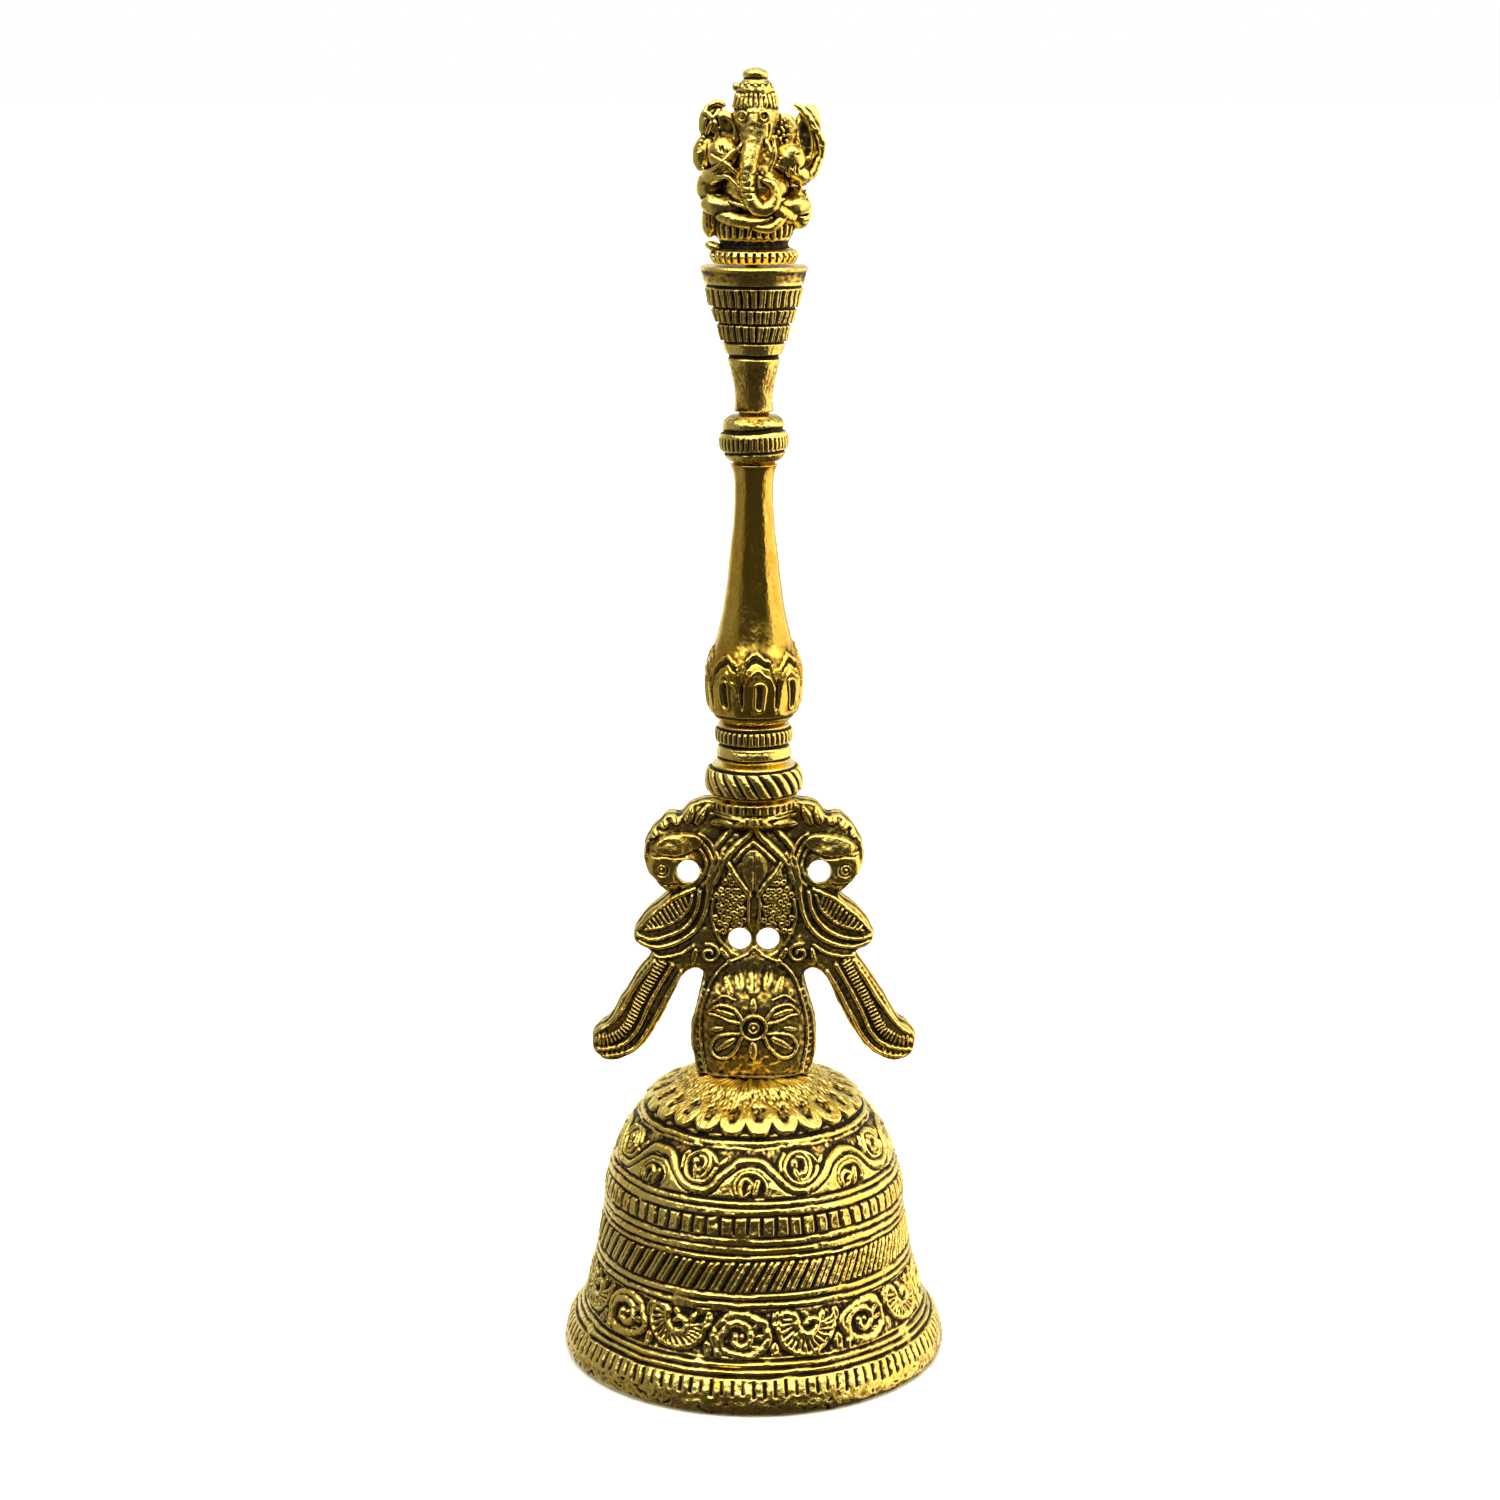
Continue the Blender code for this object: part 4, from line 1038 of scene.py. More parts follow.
class Clay:
    """A solid built up from rounded lumps in a grid of distances, in mm."""

    def __init__(self, low, high, step):
        self.step = step
        self.axes = [np.arange(a, b + step, step, dtype=np.float32) for a, b in zip(low, high)]
        self.field = np.full([len(a) for a in self.axes], 4.0, np.float32)

    def _part(self, low, high):
        """The part of the grid inside a box, as slices and coordinates."""
        cut = tuple(slice(max(0, int(np.searchsorted(a, l))), int(np.searchsorted(a, h, "right")))
                    for a, l, h in zip(self.axes, low, high))
        x, y, z = np.meshgrid(*[a[c] for a, c in zip(self.axes, cut)], indexing="ij", sparse=True)
        return cut, x, y, z

    def _join(self, cut, d, blend, carve):
        """Adds a lump of distances d to part of the grid, or carves it out, with a soft seam."""
        sign = -1.0 if carve else 1.0
        a, b = self.field[cut] * sign, d
        h = np.clip(0.5 + 0.5 * (a - b) / blend, 0, 1)
        self.field[cut] = sign * (a * (1 - h) + b * h - blend * h * (1 - h))

    def lump(self, centre, radii, turn=(0, 0, 0), blend=0.5, carve=False):
        """An ellipsoid. turn is in degrees about X, Y and Z."""
        reach = max(radii) + blend + 0.6
        cut, x, y, z = self._part([c - reach for c in centre], [c + reach for c in centre])
        m = (Matrix.Rotation(math.radians(turn[2]), 3, "Z") @ Matrix.Rotation(math.radians(turn[1]), 3, "Y")
             @ Matrix.Rotation(math.radians(turn[0]), 3, "X")).transposed()
        x, y, z = x - centre[0], y - centre[1], z - centre[2]
        p = [m[k][0] * x + m[k][1] * y + m[k][2] * z for k in range(3)]
        k0 = np.sqrt(sum((q / r) ** 2 for q, r in zip(p, radii)))
        k1 = np.sqrt(sum((q / r ** 2) ** 2 for q, r in zip(p, radii))) + 1e-6
        self._join(cut, k0 * (k0 - 1) / k1, blend, carve)

    def rope(self, points, radii, blend=0.3, carve=False, spacing=0.35):
        """A round rope along a smooth line; radii is one value or one for each point."""
        if np.isscalar(radii):
            radii = [radii] * len(points)
        line = curve([(*p, r) for p, r in zip(points, radii)], spacing)
        reach = line[:, 3].max() + blend + 0.4
        cut, x, y, z = self._part(line[:, :3].min(0) - reach, line[:, :3].max(0) + reach)
        best = None
        for a, b in zip(line, line[1:]):
            d = b[:3] - a[:3]
            t = np.clip(((x - a[0]) * d[0] + (y - a[1]) * d[1] + (z - a[2]) * d[2]) / max(float(d @ d), 1e-9),
                        0, 1)
            gap = np.sqrt((x - a[0] - t * d[0]) ** 2 + (y - a[1] - t * d[1]) ** 2
                          + (z - a[2] - t * d[2]) ** 2)
            gap -= a[3] + (b[3] - a[3]) * t
            best = gap if best is None else np.minimum(best, gap)
        self._join(cut, best, blend, carve)

    def lathe(self, profile, ripple=None, blend=0.25):
        """A turned part about the Z axis from (r, z) points; ripple(angle, z) is added to its radius."""
        p = np.array(profile, float)
        cut, x, y, z = self._part((-12, -12, p[:, 1].min() - 1), (12, 12, p[:, 1].max() + 1))
        r = np.sqrt(x * x + y * y)
        edge = np.interp(z, p[:, 1], p[:, 0])
        if ripple is not None:
            edge = edge + ripple(np.arctan2(x, -y), z)
        d = np.maximum((r - edge) * 0.85, np.maximum(p[:, 1].min() - z, z - p[:, 1].max()))
        self._join(cut, d, blend, False)

    def ring(self, centre, radius, wire, normal=(0, -1, 0), blend=0.1, carve=False):
        """A wire ring about an axis."""
        reach = radius + wire + blend + 0.4
        cut, x, y, z = self._part([c - reach for c in centre], [c + reach for c in centre])
        n = Vector(normal).normalized()
        x, y, z = x - centre[0], y - centre[1], z - centre[2]
        h = x * n[0] + y * n[1] + z * n[2]
        q = np.sqrt(np.maximum(x * x + y * y + z * z - h * h, 0)) - radius
        self._join(cut, np.sqrt(q * q + h * h) - wire, blend, carve)


def seat(clay):
    """Hatched ring, dark neck and the lotus seat."""
    def teeth(angle, z):
        t = angle * 34 / TAU
        t = t - np.round(t)
        return -0.42 * ridge(t, 0.24) * band(z, 171.9, 173.2, 0.25)

    def petals(angle, z):
        t = angle * 30 / TAU + 0.12 * (z - 176.8) * np.sign(angle)
        t = t - np.round(t)
        return -0.5 * ridge(t, 0.27) * band(z, 175.5, 177.9, 0.4)

    clay.lathe([(6.1, 171.5), (6.5, 172.1), (6.75, 172.7), (6.4, 173.4), (5.5, 173.8)], teeth)
    clay.lathe([(5.3, 173.5), (5.1, 174.4), (5.4, 175.2)])
    clay.lathe([(5.5, 175.0), (5.9, 175.8), (6.2, 177.0), (6.0, 178.2), (5.0, 178.9)], petals)
    clay.lump((-5.9, -1.6, 174.0), (1.5, 1.3, 0.8), (0, 20, 0), blend=0.2)


def torso(clay):
    """Body: hips, round belly, chest, back."""
    clay.lump((0, 0.2, 180.6), (6.3, 4.4, 2.9))
    clay.lump((0.3, -1.9, 182.6), (4.9, 3.9, 4.2))
    clay.lump((0, 0.2, 186.6), (5.0, 3.3, 4.4), blend=0.9)
    clay.lump((0, 1.6, 184.0), (5.4, 3.4, 6.4), blend=0.9)
    clay.lump((0.4, 0.2, 187.4), (8.0, 1.5, 6.4), blend=0.6)


def legs(clay):
    """Folded legs with the feet turned up in front."""
    clay.lump((-4.7, -2.6, 179.9), (3.3, 2.9, 1.9), (0, 12, 14), 0.4)
    clay.lump((4.9, -2.4, 179.7), (3.3, 2.9, 1.9), (0, -12, -14), 0.4)
    clay.rope([(-4.6, -4.3, 178.7), (-2.0, -5.4, 177.9), (0.8, -5.8, 177.7), (2.8, -5.4, 178.4)],
              [1.1, 1.05, 0.95, 0.8], 0.2)
    clay.rope([(5.2, -4.2, 178.6), (3.9, -5.5, 179.1), (2.8, -5.9, 179.9)], [1.2, 1.1, 0.8], 0.2)
    clay.rope([(0.2, -6.2, 177.0), (2.2, -6.4, 176.9), (4.0, -5.7, 178.2), (4.6, -5.1, 179.6)],
              [0.55, 0.75, 0.7, 0.45], 0.12)


def head_and_trunk(clay):
    """Head: a dome that tapers into the trunk, which ends in a coil to the right."""
    clay.lump((0.3, -1.7, 192.9), (3.5, 3.3, 3.0), blend=0.4)
    clay.rope([(0.4, -2.5, 192.6), (0.3, -3.3, 190.6), (-0.2, -4.4, 188.6), (-0.7, -5.4, 186.6),
               (-0.95, -5.9, 184.6), (-0.9, -6.2, 182.5), (-0.3, -6.4, 180.7), (1.0, -6.5, 179.6),
               (2.5, -6.4, 180.1), (3.2, -6.2, 181.6), (2.8, -6.1, 183.1), (1.7, -6.0, 183.7)],
              [3.05, 2.5, 1.8, 1.4, 1.25, 1.2, 1.15, 1.1, 1.0, 0.85, 0.7, 0.55], 0.3)
    clay.lump((1.25, -6.9, 181.9), (0.8, 1.3, 0.95), blend=0.1, carve=True)
    for k in range(5):
        z = 184.6 - 0.85 * k
        clay.rope([(-2.2, -6.0, z + 0.25), (-0.8, -7.5, z), (0.5, -6.0, z + 0.25)], 0.09, 0.12, True)


def face(clay):
    """Tusks, mouth folds and brows."""
    clay.rope([(1.5, -4.9, 189.6), (2.2, -5.3, 188.5), (2.7, -5.6, 187.2)], [0.5, 0.42, 0.25], 0.12)
    clay.rope([(-1.5, -4.9, 189.2), (-2.3, -5.1, 188.2)], [0.5, 0.3], 0.12)
    clay.rope([(2.2, -4.9, 191.8), (2.1, -4.8, 190.4), (1.3, -5.0, 188.6)], 0.16, 0.1, True)
    for x, y in ((1.45, -5.45), (-1.75, -4.85)):
        clay.ring((x, y, 193.0), 0.66, 0.2, (0.25 * x, -1, 0))
        clay.ring((x, y, 193.0), 0.3, 0.12, (0.25 * x, -1, 0), 0.05, True)


def ears(clay):
    """Ears: fans either side, cupped, with beads on the right one."""
    clay.lump((-4.2, -1.7, 191.0), (2.3, 0.8, 2.9), (0, -14, -18), 0.25)
    clay.lump((-4.3, -2.6, 191.0), (1.5, 0.7, 2.1), (0, -14, -18), 0.2, True)
    clay.lump((4.3, -1.7, 190.8), (2.2, 0.8, 2.6), (0, 14, 18), 0.25)
    for k in range(16):
        a = k * 2.4
        q = 0.42 * math.sqrt(k)
        clay.lump((4.3 + q * math.cos(a) * 0.9, -2.6, 190.9 + q * math.sin(a) * 1.2), (0.27, 0.3, 0.27),
                  blend=0.08)


def crown(clay):
    """Crown: bead band, tiers and a knob."""
    clay.lump((0.25, -1.6, 195.0), (3.35, 3.1, 1.5), blend=0.2)
    for k in range(17):
        a = math.radians(-110 + 220 * k / 16)
        clay.rope([(0.25 + 3.2 * math.sin(a), -1.7 - 3.1 * math.cos(a), 194.4),
                   (0.25 + 2.95 * math.sin(a), -1.7 - 2.85 * math.cos(a), 196.0)], [0.34, 0.26], 0.08)
    clay.lump((0.2, -1.5, 196.5), (2.9, 2.7, 1.6), blend=0.25)
    clay.lump((0.2, -1.4, 197.6), (2.35, 2.2, 1.0), blend=0.2)
    clay.lump((0.2, -1.3, 198.95), (1.95, 1.9, 1.0), blend=0.1)
    clay.ring((0.2, -1.5, 196.5), 2.95, 0.16, (0, 0, 1), 0.1, True)
    clay.ring((0.2, -1.35, 198.15), 2.3, 0.32, (0, 0, 1), 0.1, True)
    for k in range(9):
        a = math.radians(-100 + 200 * k / 8)
        clay.lump((0.2 + 2.55 * math.sin(a), -1.45 - 2.4 * math.cos(a), 197.2), (0.28, 0.28, 0.4), blend=0.1)
    clay.lump((-2.7, -1.6, 197.2), (0.5, 0.5, 0.6), blend=0.1)


def left_raised_arm(clay):
    """Left raised arm and its emblem: a cupped leaf with a bright edge."""
    clay.lump((-6.3, -0.4, 192.2), (1.9, 1.3, 2.8), (0, 12, 0), 0.3)
    clay.lump((-6.1, -1.5, 191.6), (1.0, 0.9, 1.7), (0, 12, 0), 0.2, True)
    clay.rope([(-4.6, -0.8, 194.6), (-5.6, -1.0, 194.9), (-7.0, -0.9, 193.9)], 0.5, 0.2)
    clay.lump((-5.9, -1.4, 191.0), (0.55, 0.5, 0.6), blend=0.1)
    clay.rope([(-7.2, -1.2, 193.6), (-6.0, -1.6, 192.4), (-5.4, -1.5, 190.4)], 0.42, 0.1)
    clay.rope([(-5.2, -1.3, 193.8), (-6.2, -1.6, 192.2), (-6.9, -1.5, 190.6)], 0.36, 0.1)
    clay.lump((-5.2, -1.2, 193.4), (0.5, 0.5, 0.5), blend=0.1)
    clay.lump((-7.4, -0.5, 187.6), (1.75, 1.6, 2.7), (0, 8, 0), 0.3)
    for k in range(9):
        clay.lump((-8.3 + 0.13 * abs(k - 4) ** 1.3, -1.5, 185.4 + 0.56 * k), (0.36, 0.4, 0.3), blend=0.08)
    clay.rope([(-6.8, -2.0, 189.6), (-6.9, -2.2, 187.4), (-6.6, -2.2, 185.4)], 0.28, 0.1, True)


def left_lower_arm(clay):
    """Left lower arm: forearm to a hand at the belly, with crossed bands."""
    clay.lump((-4.6, -3.4, 187.6), (2.2, 2.0, 2.4), (0, 20, 0), 0.3)
    clay.rope([(-6.9, -1.8, 183.6), (-5.6, -3.6, 184.6), (-4.0, -4.6, 185.6)], [1.4, 1.25, 1.0], 0.3)
    clay.rope([(-6.3, -5.0, 187.4), (-4.2, -6.0, 186.2), (-2.6, -5.6, 184.8)], 0.3, 0.1)
    clay.rope([(-6.0, -5.0, 185.4), (-4.6, -5.9, 186.5), (-3.0, -5.5, 188.2)], 0.3, 0.1)
    clay.rope([(-5.6, -4.6, 184.2), (-3.9, -5.7, 184.3), (-2.2, -5.8, 182.6)], 0.34, 0.12)
    for k in range(4):
        clay.rope([(-5.2 + 0.55 * k, -5.0, 188.9 - 0.3 * k), (-4.7 + 0.55 * k, -5.6, 187.6 - 0.3 * k)], 0.16,
                  0.08, True)


def left_knee(clay):
    """Left knee, elbow cloth and its folds."""
    clay.lump((-6.7, -1.4, 182.6), (1.9, 2.1, 2.2), blend=0.3)
    clay.lump((-6.3, -0.9, 178.4), (1.5, 2.2, 3.2), (0, 6, 0), 0.35)
    for k in range(4):
        clay.rope([(-7.3 + 0.55 * k, -2.6 - 0.25 * k, 180.6), (-7.0 + 0.5 * k, -2.9 - 0.2 * k, 178.0),
                   (-6.9 + 0.45 * k, -2.5, 175.6)], 0.19, 0.1, True)
    clay.rope([(-8.1, -1.6, 182.2), (-6.6, -3.4, 181.4), (-5.0, -4.3, 181.6)], 0.22, 0.1, True)


def right_raised_arm(clay):
    """Right raised arm: a tall hand cupped towards the head, four fingers on its outer edge."""
    clay.lump((7.5, -0.3, 189.4), (2.3, 1.5, 5.4), (0, 10, 0), 0.35)
    clay.rope([(6.6, -1.9, 193.2), (7.3, -2.0, 190.6), (7.9, -2.0, 187.8), (7.7, -1.9, 185.4)],
              [0.55, 0.95, 0.9, 0.5], 0.2, True)
    clay.rope([(6.2, -1.0, 194.6), (7.6, -1.2, 193.3), (8.9, -1.3, 191.2)], [0.4, 0.6, 0.6], 0.2)
    clay.rope([(9.2, -1.2, 190.8), (10.0, -1.2, 189.0), (10.0, -1.1, 187.2)], [0.55, 0.6, 0.5], 0.2)
    clay.rope([(9.6, -1.1, 186.6), (8.8, -1.4, 184.8), (7.2, -2.0, 183.4)], [0.6, 0.65, 0.6], 0.2)
    clay.rope([(8.6, -1.8, 191.9), (9.2, -1.9, 191.2)], 0.2, 0.1, True)
    clay.rope([(9.3, -1.8, 189.2), (10.2, -1.8, 188.8)], 0.2, 0.1, True)
    clay.lump((6.5, -2.2, 190.4), (0.5, 0.5, 0.6), blend=0.1)
    clay.lump((8.0, -1.7, 186.9), (0.4, 0.4, 0.4), blend=0.1)
    clay.lump((8.3, 0.1, 187.4), (1.7, 0.8, 3.8), blend=0.2)


def right_lower_arm(clay):
    """Right lower arm holding a round bowl with a sweet in it."""
    clay.rope([(6.6, -1.6, 184.2), (6.9, -3.0, 184.6), (5.6, -4.6, 185.2)], [1.3, 1.2, 1.1], 0.3)
    clay.lump((5.2, -3.6, 186.9), (2.35, 2.3, 2.3), blend=0.25)
    clay.ring((5.2, -4.1, 187.1), 2.0, 0.32, (0.25, -1, 0.75), 0.12)
    clay.ring((5.2, -4.4, 187.4), 1.35, 0.26, (0.25, -1, 0.75), 0.1, True)
    clay.lump((5.5, -5.0, 187.9), (1.05, 0.8, 0.9), blend=0.12)
    for k in range(4):
        clay.rope([(4.1 + 0.75 * k, -5.7 + 0.12 * k, 185.9), (4.2 + 0.7 * k, -5.4, 184.8)], 0.18, 0.08, True)
    clay.rope([(2.8, -5.6, 190.0), (3.0, -6.0, 187.6), (2.2, -6.0, 185.2)], 0.3, 0.1)
    clay.rope([(3.4, -5.2, 184.3), (5.2, -5.2, 183.2), (7.0, -3.8, 182.6)], 0.34, 0.15)


def right_knee(clay):
    """Right knee: a ribbed leaf of cloth."""
    clay.lump((6.4, -1.4, 179.7), (2.1, 2.5, 3.2), (0, -10, 0), 0.3)
    for k in range(5):
        z = 181.8 - 1.05 * k
        clay.rope([(5.0, -3.9, z + 0.2), (6.6, -3.9, z - 0.1), (8.2, -2.4, z + 0.3)], 0.18, 0.08, True)
    for k in range(7):
        clay.lump((7.6 + 0.1 * k, -2.3, 182.3 - 0.45 * k), (0.25, 0.3, 0.25), blend=0.06)


def ornaments(clay):
    """Necklace, belly band and waist cord."""
    for k in range(12):
        a = math.radians(200 + 14 * k)
        clay.lump((0.3 + 3.6 * math.cos(a), -5.4 - 0.1 * math.sin(a), 187.2 + 2.4 * math.sin(a)),
                  (0.3, 0.32, 0.3), blend=0.06)
    clay.rope([(-4.4, -4.2, 181.0), (-1.8, -5.8, 180.2), (1.8, -5.9, 180.2), (4.4, -4.4, 181.0)], 0.3, 0.1)


def back_folds(clay):
    """Back: hair and shawl folds."""
    for k in range(7):
        x = -3.0 + k
        clay.rope([(x * 0.7, 1.4, 193.6), (x * 0.95, 2.6, 190.6), (x * 1.1, 4.6, 186.5),
                   (x * 1.2, 4.9, 182.5)], 0.2, 0.1, True)
    clay.rope([(-5.0, 2.6, 188.0), (0, 5.2, 185.6), (5.0, 2.6, 188.0)], 0.35, 0.12)
    clay.rope([(-5.4, 2.6, 181.4), (0, 5.4, 180.4), (5.4, 2.6, 181.4)], 0.4, 0.12)


def figure(clay):
    for part in (torso, legs, head_and_trunk, face, ears, crown, left_raised_arm, left_lower_arm, left_knee,
                 right_raised_arm, right_lower_arm, right_knee, ornaments, back_folds):
        part(clay)


SEAT_FOOT = 171.55
CROWN_TOP = 199.96
FINIAL_BORE_TOP = 178.3
FINIAL_STEP = 0.15


def make_finial():
    clay = Clay((-10.6, -9.0, 171.0), (11.4, 7.4, 200.6), FINIAL_STEP)
    seat(clay)
    figure(clay)
    x, y, z = np.meshgrid(*clay.axes, indexing="ij", sparse=True)
    width, depth, height = clay.field.shape
    front_grain = grain((width, height), (1.5, 1.5), 91)[:, None, :]
    side_grain = grain((depth, height), (2.0, 2.0), 92)[None, :, :]
    clay.field += (0.045 * front_grain + 0.035 * side_grain).astype(np.float32)
    clay.field = np.maximum(clay.field, np.maximum(SEAT_FOOT - z, z - CROWN_TOP))
    bore = np.maximum(np.sqrt(x * x + y * y) - BORE, z - FINIAL_BORE_TOP)
    clay.field = np.maximum(clay.field, -bore)
    verts, quads = surface_net(clay.field, [a[0] for a in clay.axes], clay.step)
    (fine, broad), normal = mesh_hollows(verts, quads, (2, 10))
    # painted light: faces that point up are made lighter, those that point down darker
    patina_and_painted_light = 0.355 + fine / 0.036 + broad / 0.11 - 0.06 * normal[:, 2]
    patina_and_painted_light += 0.2 * band(verts[:, 2], 173.4, 175.2, 0.2)
    obj = add_piece("elephant_figure", verts, quads, patina_and_painted_light, "finial_brass")
    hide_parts("elephant_figure_finial")
    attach(obj, "bell")


make_finial()


# ---------------------------------------------------------------- clapper, link and hanger

def clay_piece(name, clay, tone, seed, slot, node, body="bell"):
    """Turns a grid of distances into a piece with worn high spots and dark hollows."""
    width, _, height = clay.field.shape
    clay.field += (0.02 * grain((width, height), (2, 2), seed)[:, None, :]).astype(np.float32)
    verts, quads = surface_net(clay.field, [a[0] for a in clay.axes], clay.step)
    (fine, broad), _ = mesh_hollows(verts, quads, (2, 8))
    obj = add_piece(name, verts, quads, tone + fine / 0.05 + broad / 0.3, slot)
    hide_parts(node)
    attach(obj, body)


EYE_CENTRE = 36.7
LINK_CENTRE = 32.8
LOOP_CENTRE = 29.4
FLANGE_CENTRE = 40.5
BALL_CENTRE = 9.8
BALL_RADIUS = 6.8


def make_hanger():
    """Eye bolt with a hexagonal collar and a threaded shank, its washer, and the wire link."""
    clay = Clay((-4.2, -4.2, 32.9), (4.2, 4.2, 42.1), 0.14)
    clay.ring((0, 0, EYE_CENTRE), 2.7, 0.67, (0, 1, 0))
    x, y, z = np.meshgrid(*clay.axes, indexing="ij", sparse=True)
    level = np.abs(z - FLANGE_CENTRE)
    sides = [np.abs(x * math.cos(a) + y * math.sin(a)) for a in (0, math.pi / 3, -math.pi / 3)]
    hexagon = np.max(sides, axis=0) - 2.85
    bevel = np.sqrt(x * x + y * y) - 3.15 + 0.25 * np.clip(level - 0.25, 0, 1)
    clay.field = np.minimum(clay.field, np.maximum(np.maximum(hexagon, bevel), level - 0.48))
    clay.rope([(0, 0, 39.2), (0, 0, 40.4)], 1.4, 0.3)
    clay_piece("eye_bolt", clay, 0.35, 101, "steel", "hanger_eye_bolt")

    def thread(a, r, z, outside):
        pitch = 0.7
        t = (z / pitch + a / TAU) % 1 - 0.5
        return np.where((r > 1.2) & outside, -0.16 * ridge(t, 0.42), 0), np.zeros(a.shape)

    line = profile_path(([(1.45, 40.9), (1.45, 56.3), (1.1, 56.65)], 0.12, False),
                        ([(1.1, 56.65), (0.12, 56.7), (0.12, 40.85), (1.45, 40.9)], 0.8, False))
    shank = turned("eye_bolt_shank", line, 48, thread, 0.12, "steel")
    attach(shank, "bell")

    def stamped(a, r, z, outside):
        return 0.02 * round_grain(a, 2, 4, 103) * outside, 0.12 + 0.05 * np.sin(r * 9)

    line = profile_path(([(4.3, 41.3), (4.48, 41.45), (4.48, 41.9), (4.3, 42.1)], 0.1, False),
                        ([(4.3, 42.1), (1.8, 42.1), (1.8, 41.3), (4.3, 41.3)], 0.3, False))
    washer = turned("washer", line, 120, stamped, 0.1, "steel")
    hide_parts("hanger_washer")
    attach(washer, "bell")

    clay = Clay((-1.2, -4.2, 28.9), (1.2, 4.2, 36.7), 0.12)
    clay.ring((0, 0, LINK_CENTRE), 2.8, 0.57, (1, 0, 0))
    clay.lump((0, 2.8, LINK_CENTRE), (0.7, 0.12, 0.16), blend=0.06, carve=True)     # where its ends meet
    clay_piece("link_ring", clay, 0.35, 104, "steel", "clapper_link", "link")


def make_clapper():
    """Rod with a loop above and a riveted head below, and the bored ball it holds."""
    clay = Clay((-3.4, -1.8, 21.9), (3.4, 1.8, 32.6), 0.13)
    clay.ring((0, 0, LOOP_CENTRE), 2.15, 0.62, (0, 1, 0))
    clay.rope([(0, 0, 27.3), (0, 0, 23.2)], [0.85, 1.05], 0.35)
    clay.rope([(-0.75, -0.5, 26.6), (0, -0.75, 27.0), (0.75, -0.5, 26.6)], 0.16, 0.12)
    clay_piece("clapper_loop", clay, 0.34, 105, "clapper_brass", "clapper_rod", "clapper")

    def drawn(a, r, z, outside):
        return 0.03 * round_grain(a, 7, 2, 106), 0.04 + 0.1 * round_grain(a, 9, 6, 107)

    line = profile_path(([(1.5, 1.7), (2.0, 2.2), (2.0, 2.75), (1.08, 2.8)], 0.15, False),
                        ([(1.08, 2.8), (1.06, 24.0), (0.95, 24.4)], 0.16, False),
                        ([(0.95, 24.4), (0.12, 24.4), (0.12, 1.7), (1.5, 1.7)], 0.9, False))
    shaft = turned("clapper_shaft", line, 60, drawn, 0.16, "clapper_brass")

    def cast_ball(a, r, z, outside):
        """Rough casting with a parting seam, and bright, flattened marks on the two sides that strike."""
        h = 0.06 * round_grain(a, 3, 3, 108) - 0.12
        seam = ((a + 0.4) % math.pi) * BALL_RADIUS
        h += 0.09 * ridge(np.minimum(seam, math.pi * BALL_RADIUS - seam), 0.3)
        struck = np.zeros(a.shape)
        for side in (0.5, 1.5):
            away = np.hypot((a - side * math.pi) * BALL_RADIUS, (z - 9.2) * 1.1)
            struck = np.maximum(struck, 1 - smooth(1.2, 2.6, away))
        h = h * (1 - struck) - 0.2 * struck
        return h * (r > 2) * outside, 0.10 - 0.42 * struck

    angles = np.linspace(-1, 1, 15) * (math.pi / 2 - 0.235)
    wall = [(BALL_RADIUS * math.cos(q), BALL_CENTRE + BALL_RADIUS * math.sin(q)) for q in angles]
    line = profile_path((wall, 0.16, True),
                        ([wall[-1], (1.42, wall[-1][1]), (1.42, wall[0][1]), wall[0]], 0.8, False))
    ball = turned("clapper_head", line, 220, cast_ball, 0.16, "clapper_brass")
    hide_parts("clapper_ball")
    for piece in (shaft, ball):
        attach(piece, "clapper")


make_hanger()
make_clapper()
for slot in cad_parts["tie_rod"].material_slots:
    slot.material = METALS["steel"]


# ---------------------------------------------------------------- stage, lights and camera

def plane(name, corners, material):
    mesh = bpy.data.meshes.new(name)
    mesh.from_pydata(corners, [], [(0, 1, 2, 3)])
    mesh.materials.append(material)
    obj = bpy.data.objects.new(name, mesh)
    bpy.context.scene.collection.objects.link(obj)
    return obj


def matte(name, colour):
    mat = bpy.data.materials.new(name)
    mat.use_nodes = True
    shader = mat.node_tree.nodes["Principled BSDF"]
    shader.inputs["Base Color"].default_value = (*colour, 1)
    shader.inputs["Roughness"].default_value = 0.9
    return mat


floor = plane("floor", [(-40, -40, 0), (40, -40, 0), (40, 40, 0), (-40, 40, 0)],
              matte("floor_white", (0.9, 0.9, 0.9)))
floor.visible_glossy = False

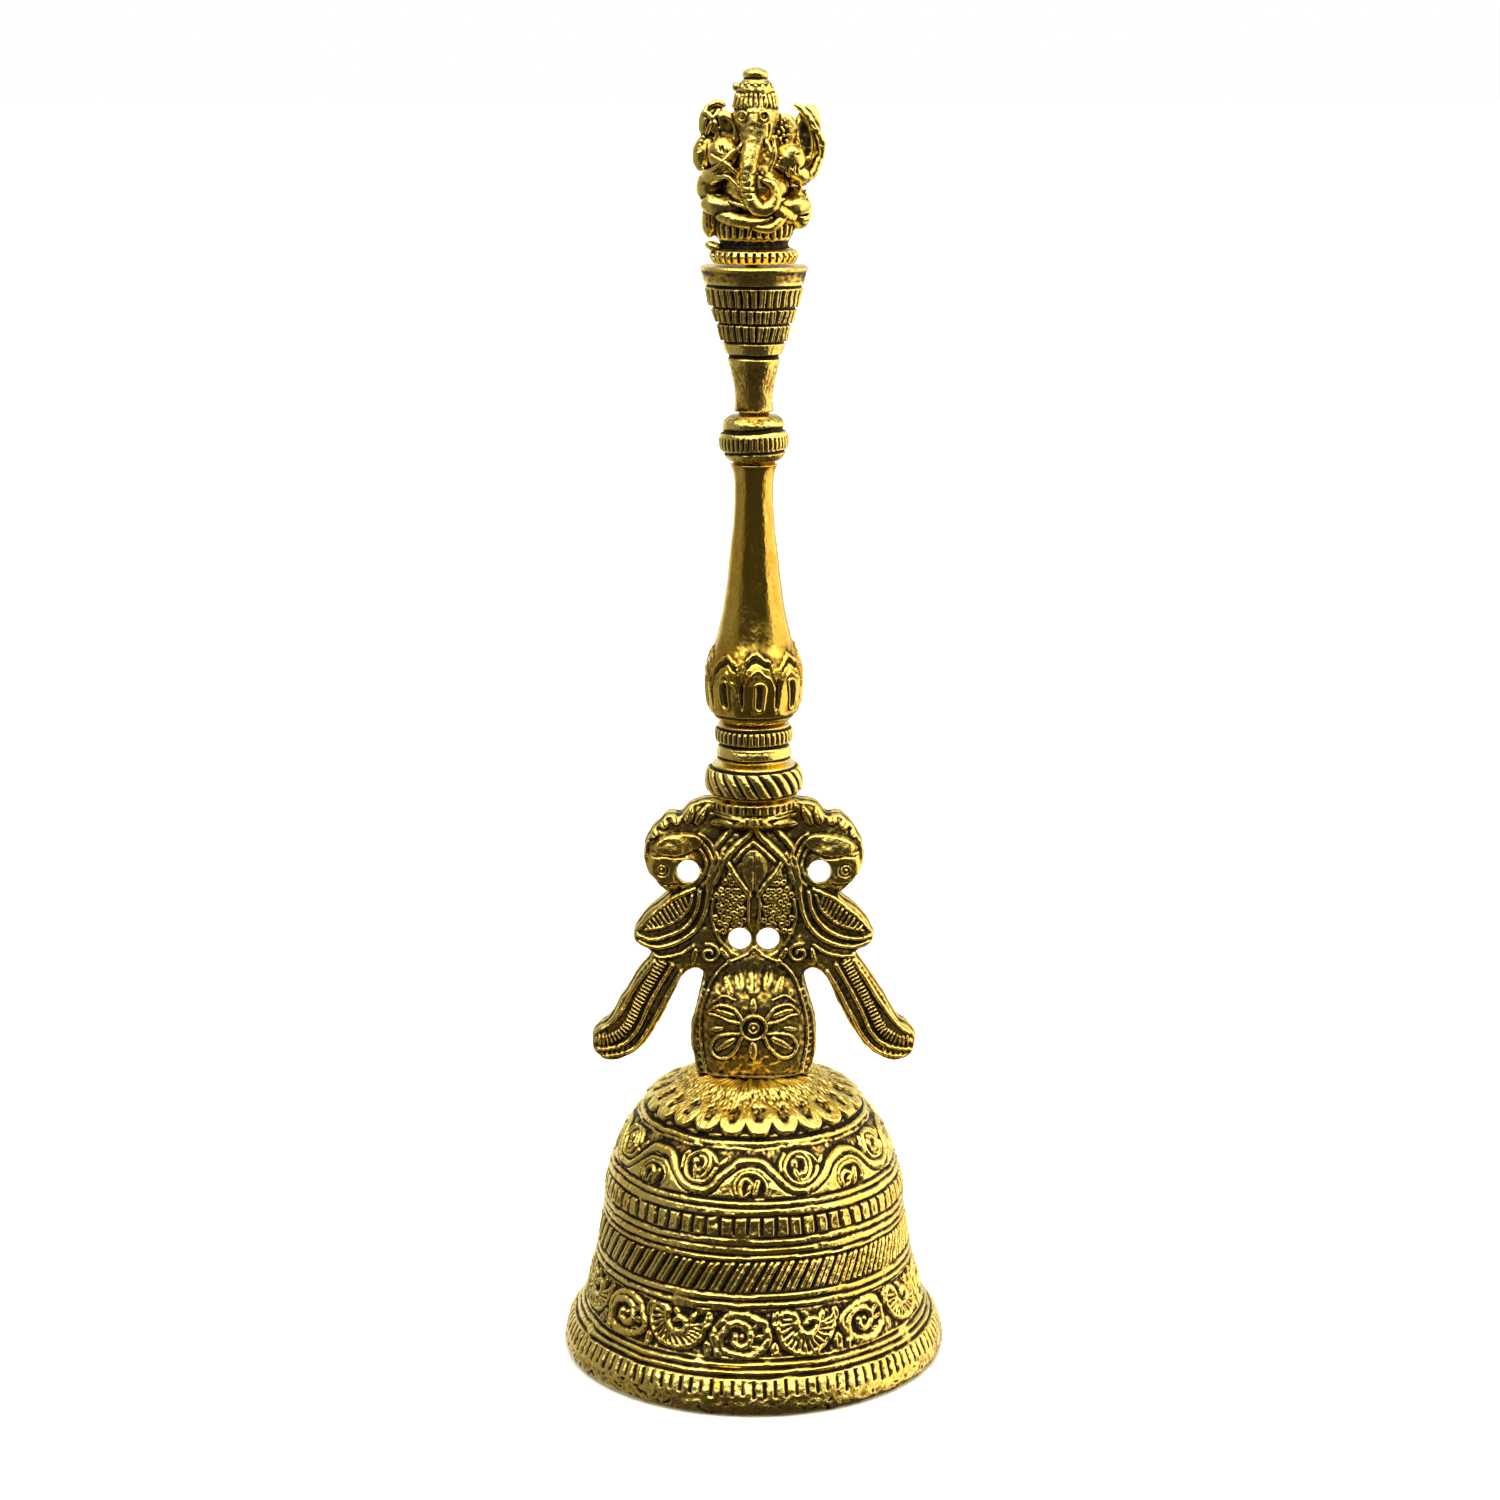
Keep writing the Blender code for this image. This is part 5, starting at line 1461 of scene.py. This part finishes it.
# Soft panels of light far round the object: (azimuth, elevation, full within, none beyond, colour), degrees.
# Azimuth 0 is in front and 90 to the right. The front stays dim, as a room would.
PANELS = [(100, 2, 36, 46, (1.45, 1.26, 0.90)), (-108, -8, 36, 66, (0.26, 0.24, 0.18)),
          (180, 0, 22, 60, (0.85, 0.85, 0.75)), (20, 88, 26, 54, (1.5, 1.45, 1.15)),
          (58, 40, 14, 24, (3.2, 3.0, 2.3)), (-42, 44, 11, 24, (3.0, 2.85, 2.3)),
          (2, 41, 10, 22, (2.5, 2.35, 1.8))]
ROOM_COLOUR = (0.054, 0.047, 0.033)


def make_world():
    world = bpy.data.worlds.new("studio")
    bpy.context.scene.world = world
    world.use_nodes = True
    nodes = Nodes(world.node_tree)
    towards = nodes.add("TexCoord").outputs["Generated"]
    light = ROOM_COLOUR
    for azimuth, elevation, inner, outer, colour in PANELS:
        az, el = math.radians(azimuth), math.radians(elevation)
        aim = (math.sin(az) * math.cos(el), -math.cos(az) * math.cos(el), math.sin(el))
        facing = nodes.add("VectorMath", {0: towards, 1: aim}, operation="DOT_PRODUCT").outputs["Value"]
        fade = nodes.remap(facing, math.cos(math.radians(outer)), math.cos(math.radians(inner)), 0, 1,
                           "SMOOTHSTEP")
        tint = nodes.add("VectorMath", {0: colour, "Scale": fade}, operation="SCALE").outputs["Vector"]
        light = nodes.add("VectorMath", {0: tint, 1: light}, operation="ADD").outputs["Vector"]
    lit = world.node_tree.nodes["Background"]
    nodes.feed(lit, {"Color": light})
    pale = nodes.add("Background", {"Color": (1, 1, 1, 1)})
    seen = nodes.add("LightPath").outputs["Is Camera Ray"]
    pick = nodes.add("MixShader", {"Fac": seen, 1: lit.outputs["Background"], 2: pale.outputs["Background"]})
    nodes.feed(world.node_tree.nodes["World Output"], {"Surface": pick.outputs["Shader"]})


make_world()

overhead = bpy.data.lights.new("overhead", "SUN")
overhead.energy = 2.0
overhead.angle = math.radians(70)
overhead_lamp = bpy.data.objects.new("overhead", overhead)
overhead_lamp.visible_glossy = False
bpy.context.scene.collection.objects.link(overhead_lamp)

camera_data = bpy.data.cameras.new("camera")
camera_data.sensor_width = 36
camera_data.lens = 71.6                 # mm, fitted to the curvature of the cup's ring lines
camera = bpy.data.objects.new("camera", camera_data)
camera.location = (-0.0006, -0.450, 0.1973)
camera.rotation_euler = (math.radians(77.45), 0, 0)
bpy.context.scene.collection.objects.link(camera)
bpy.context.scene.camera = camera
bpy.context.scene.view_settings.view_transform = "Standard"
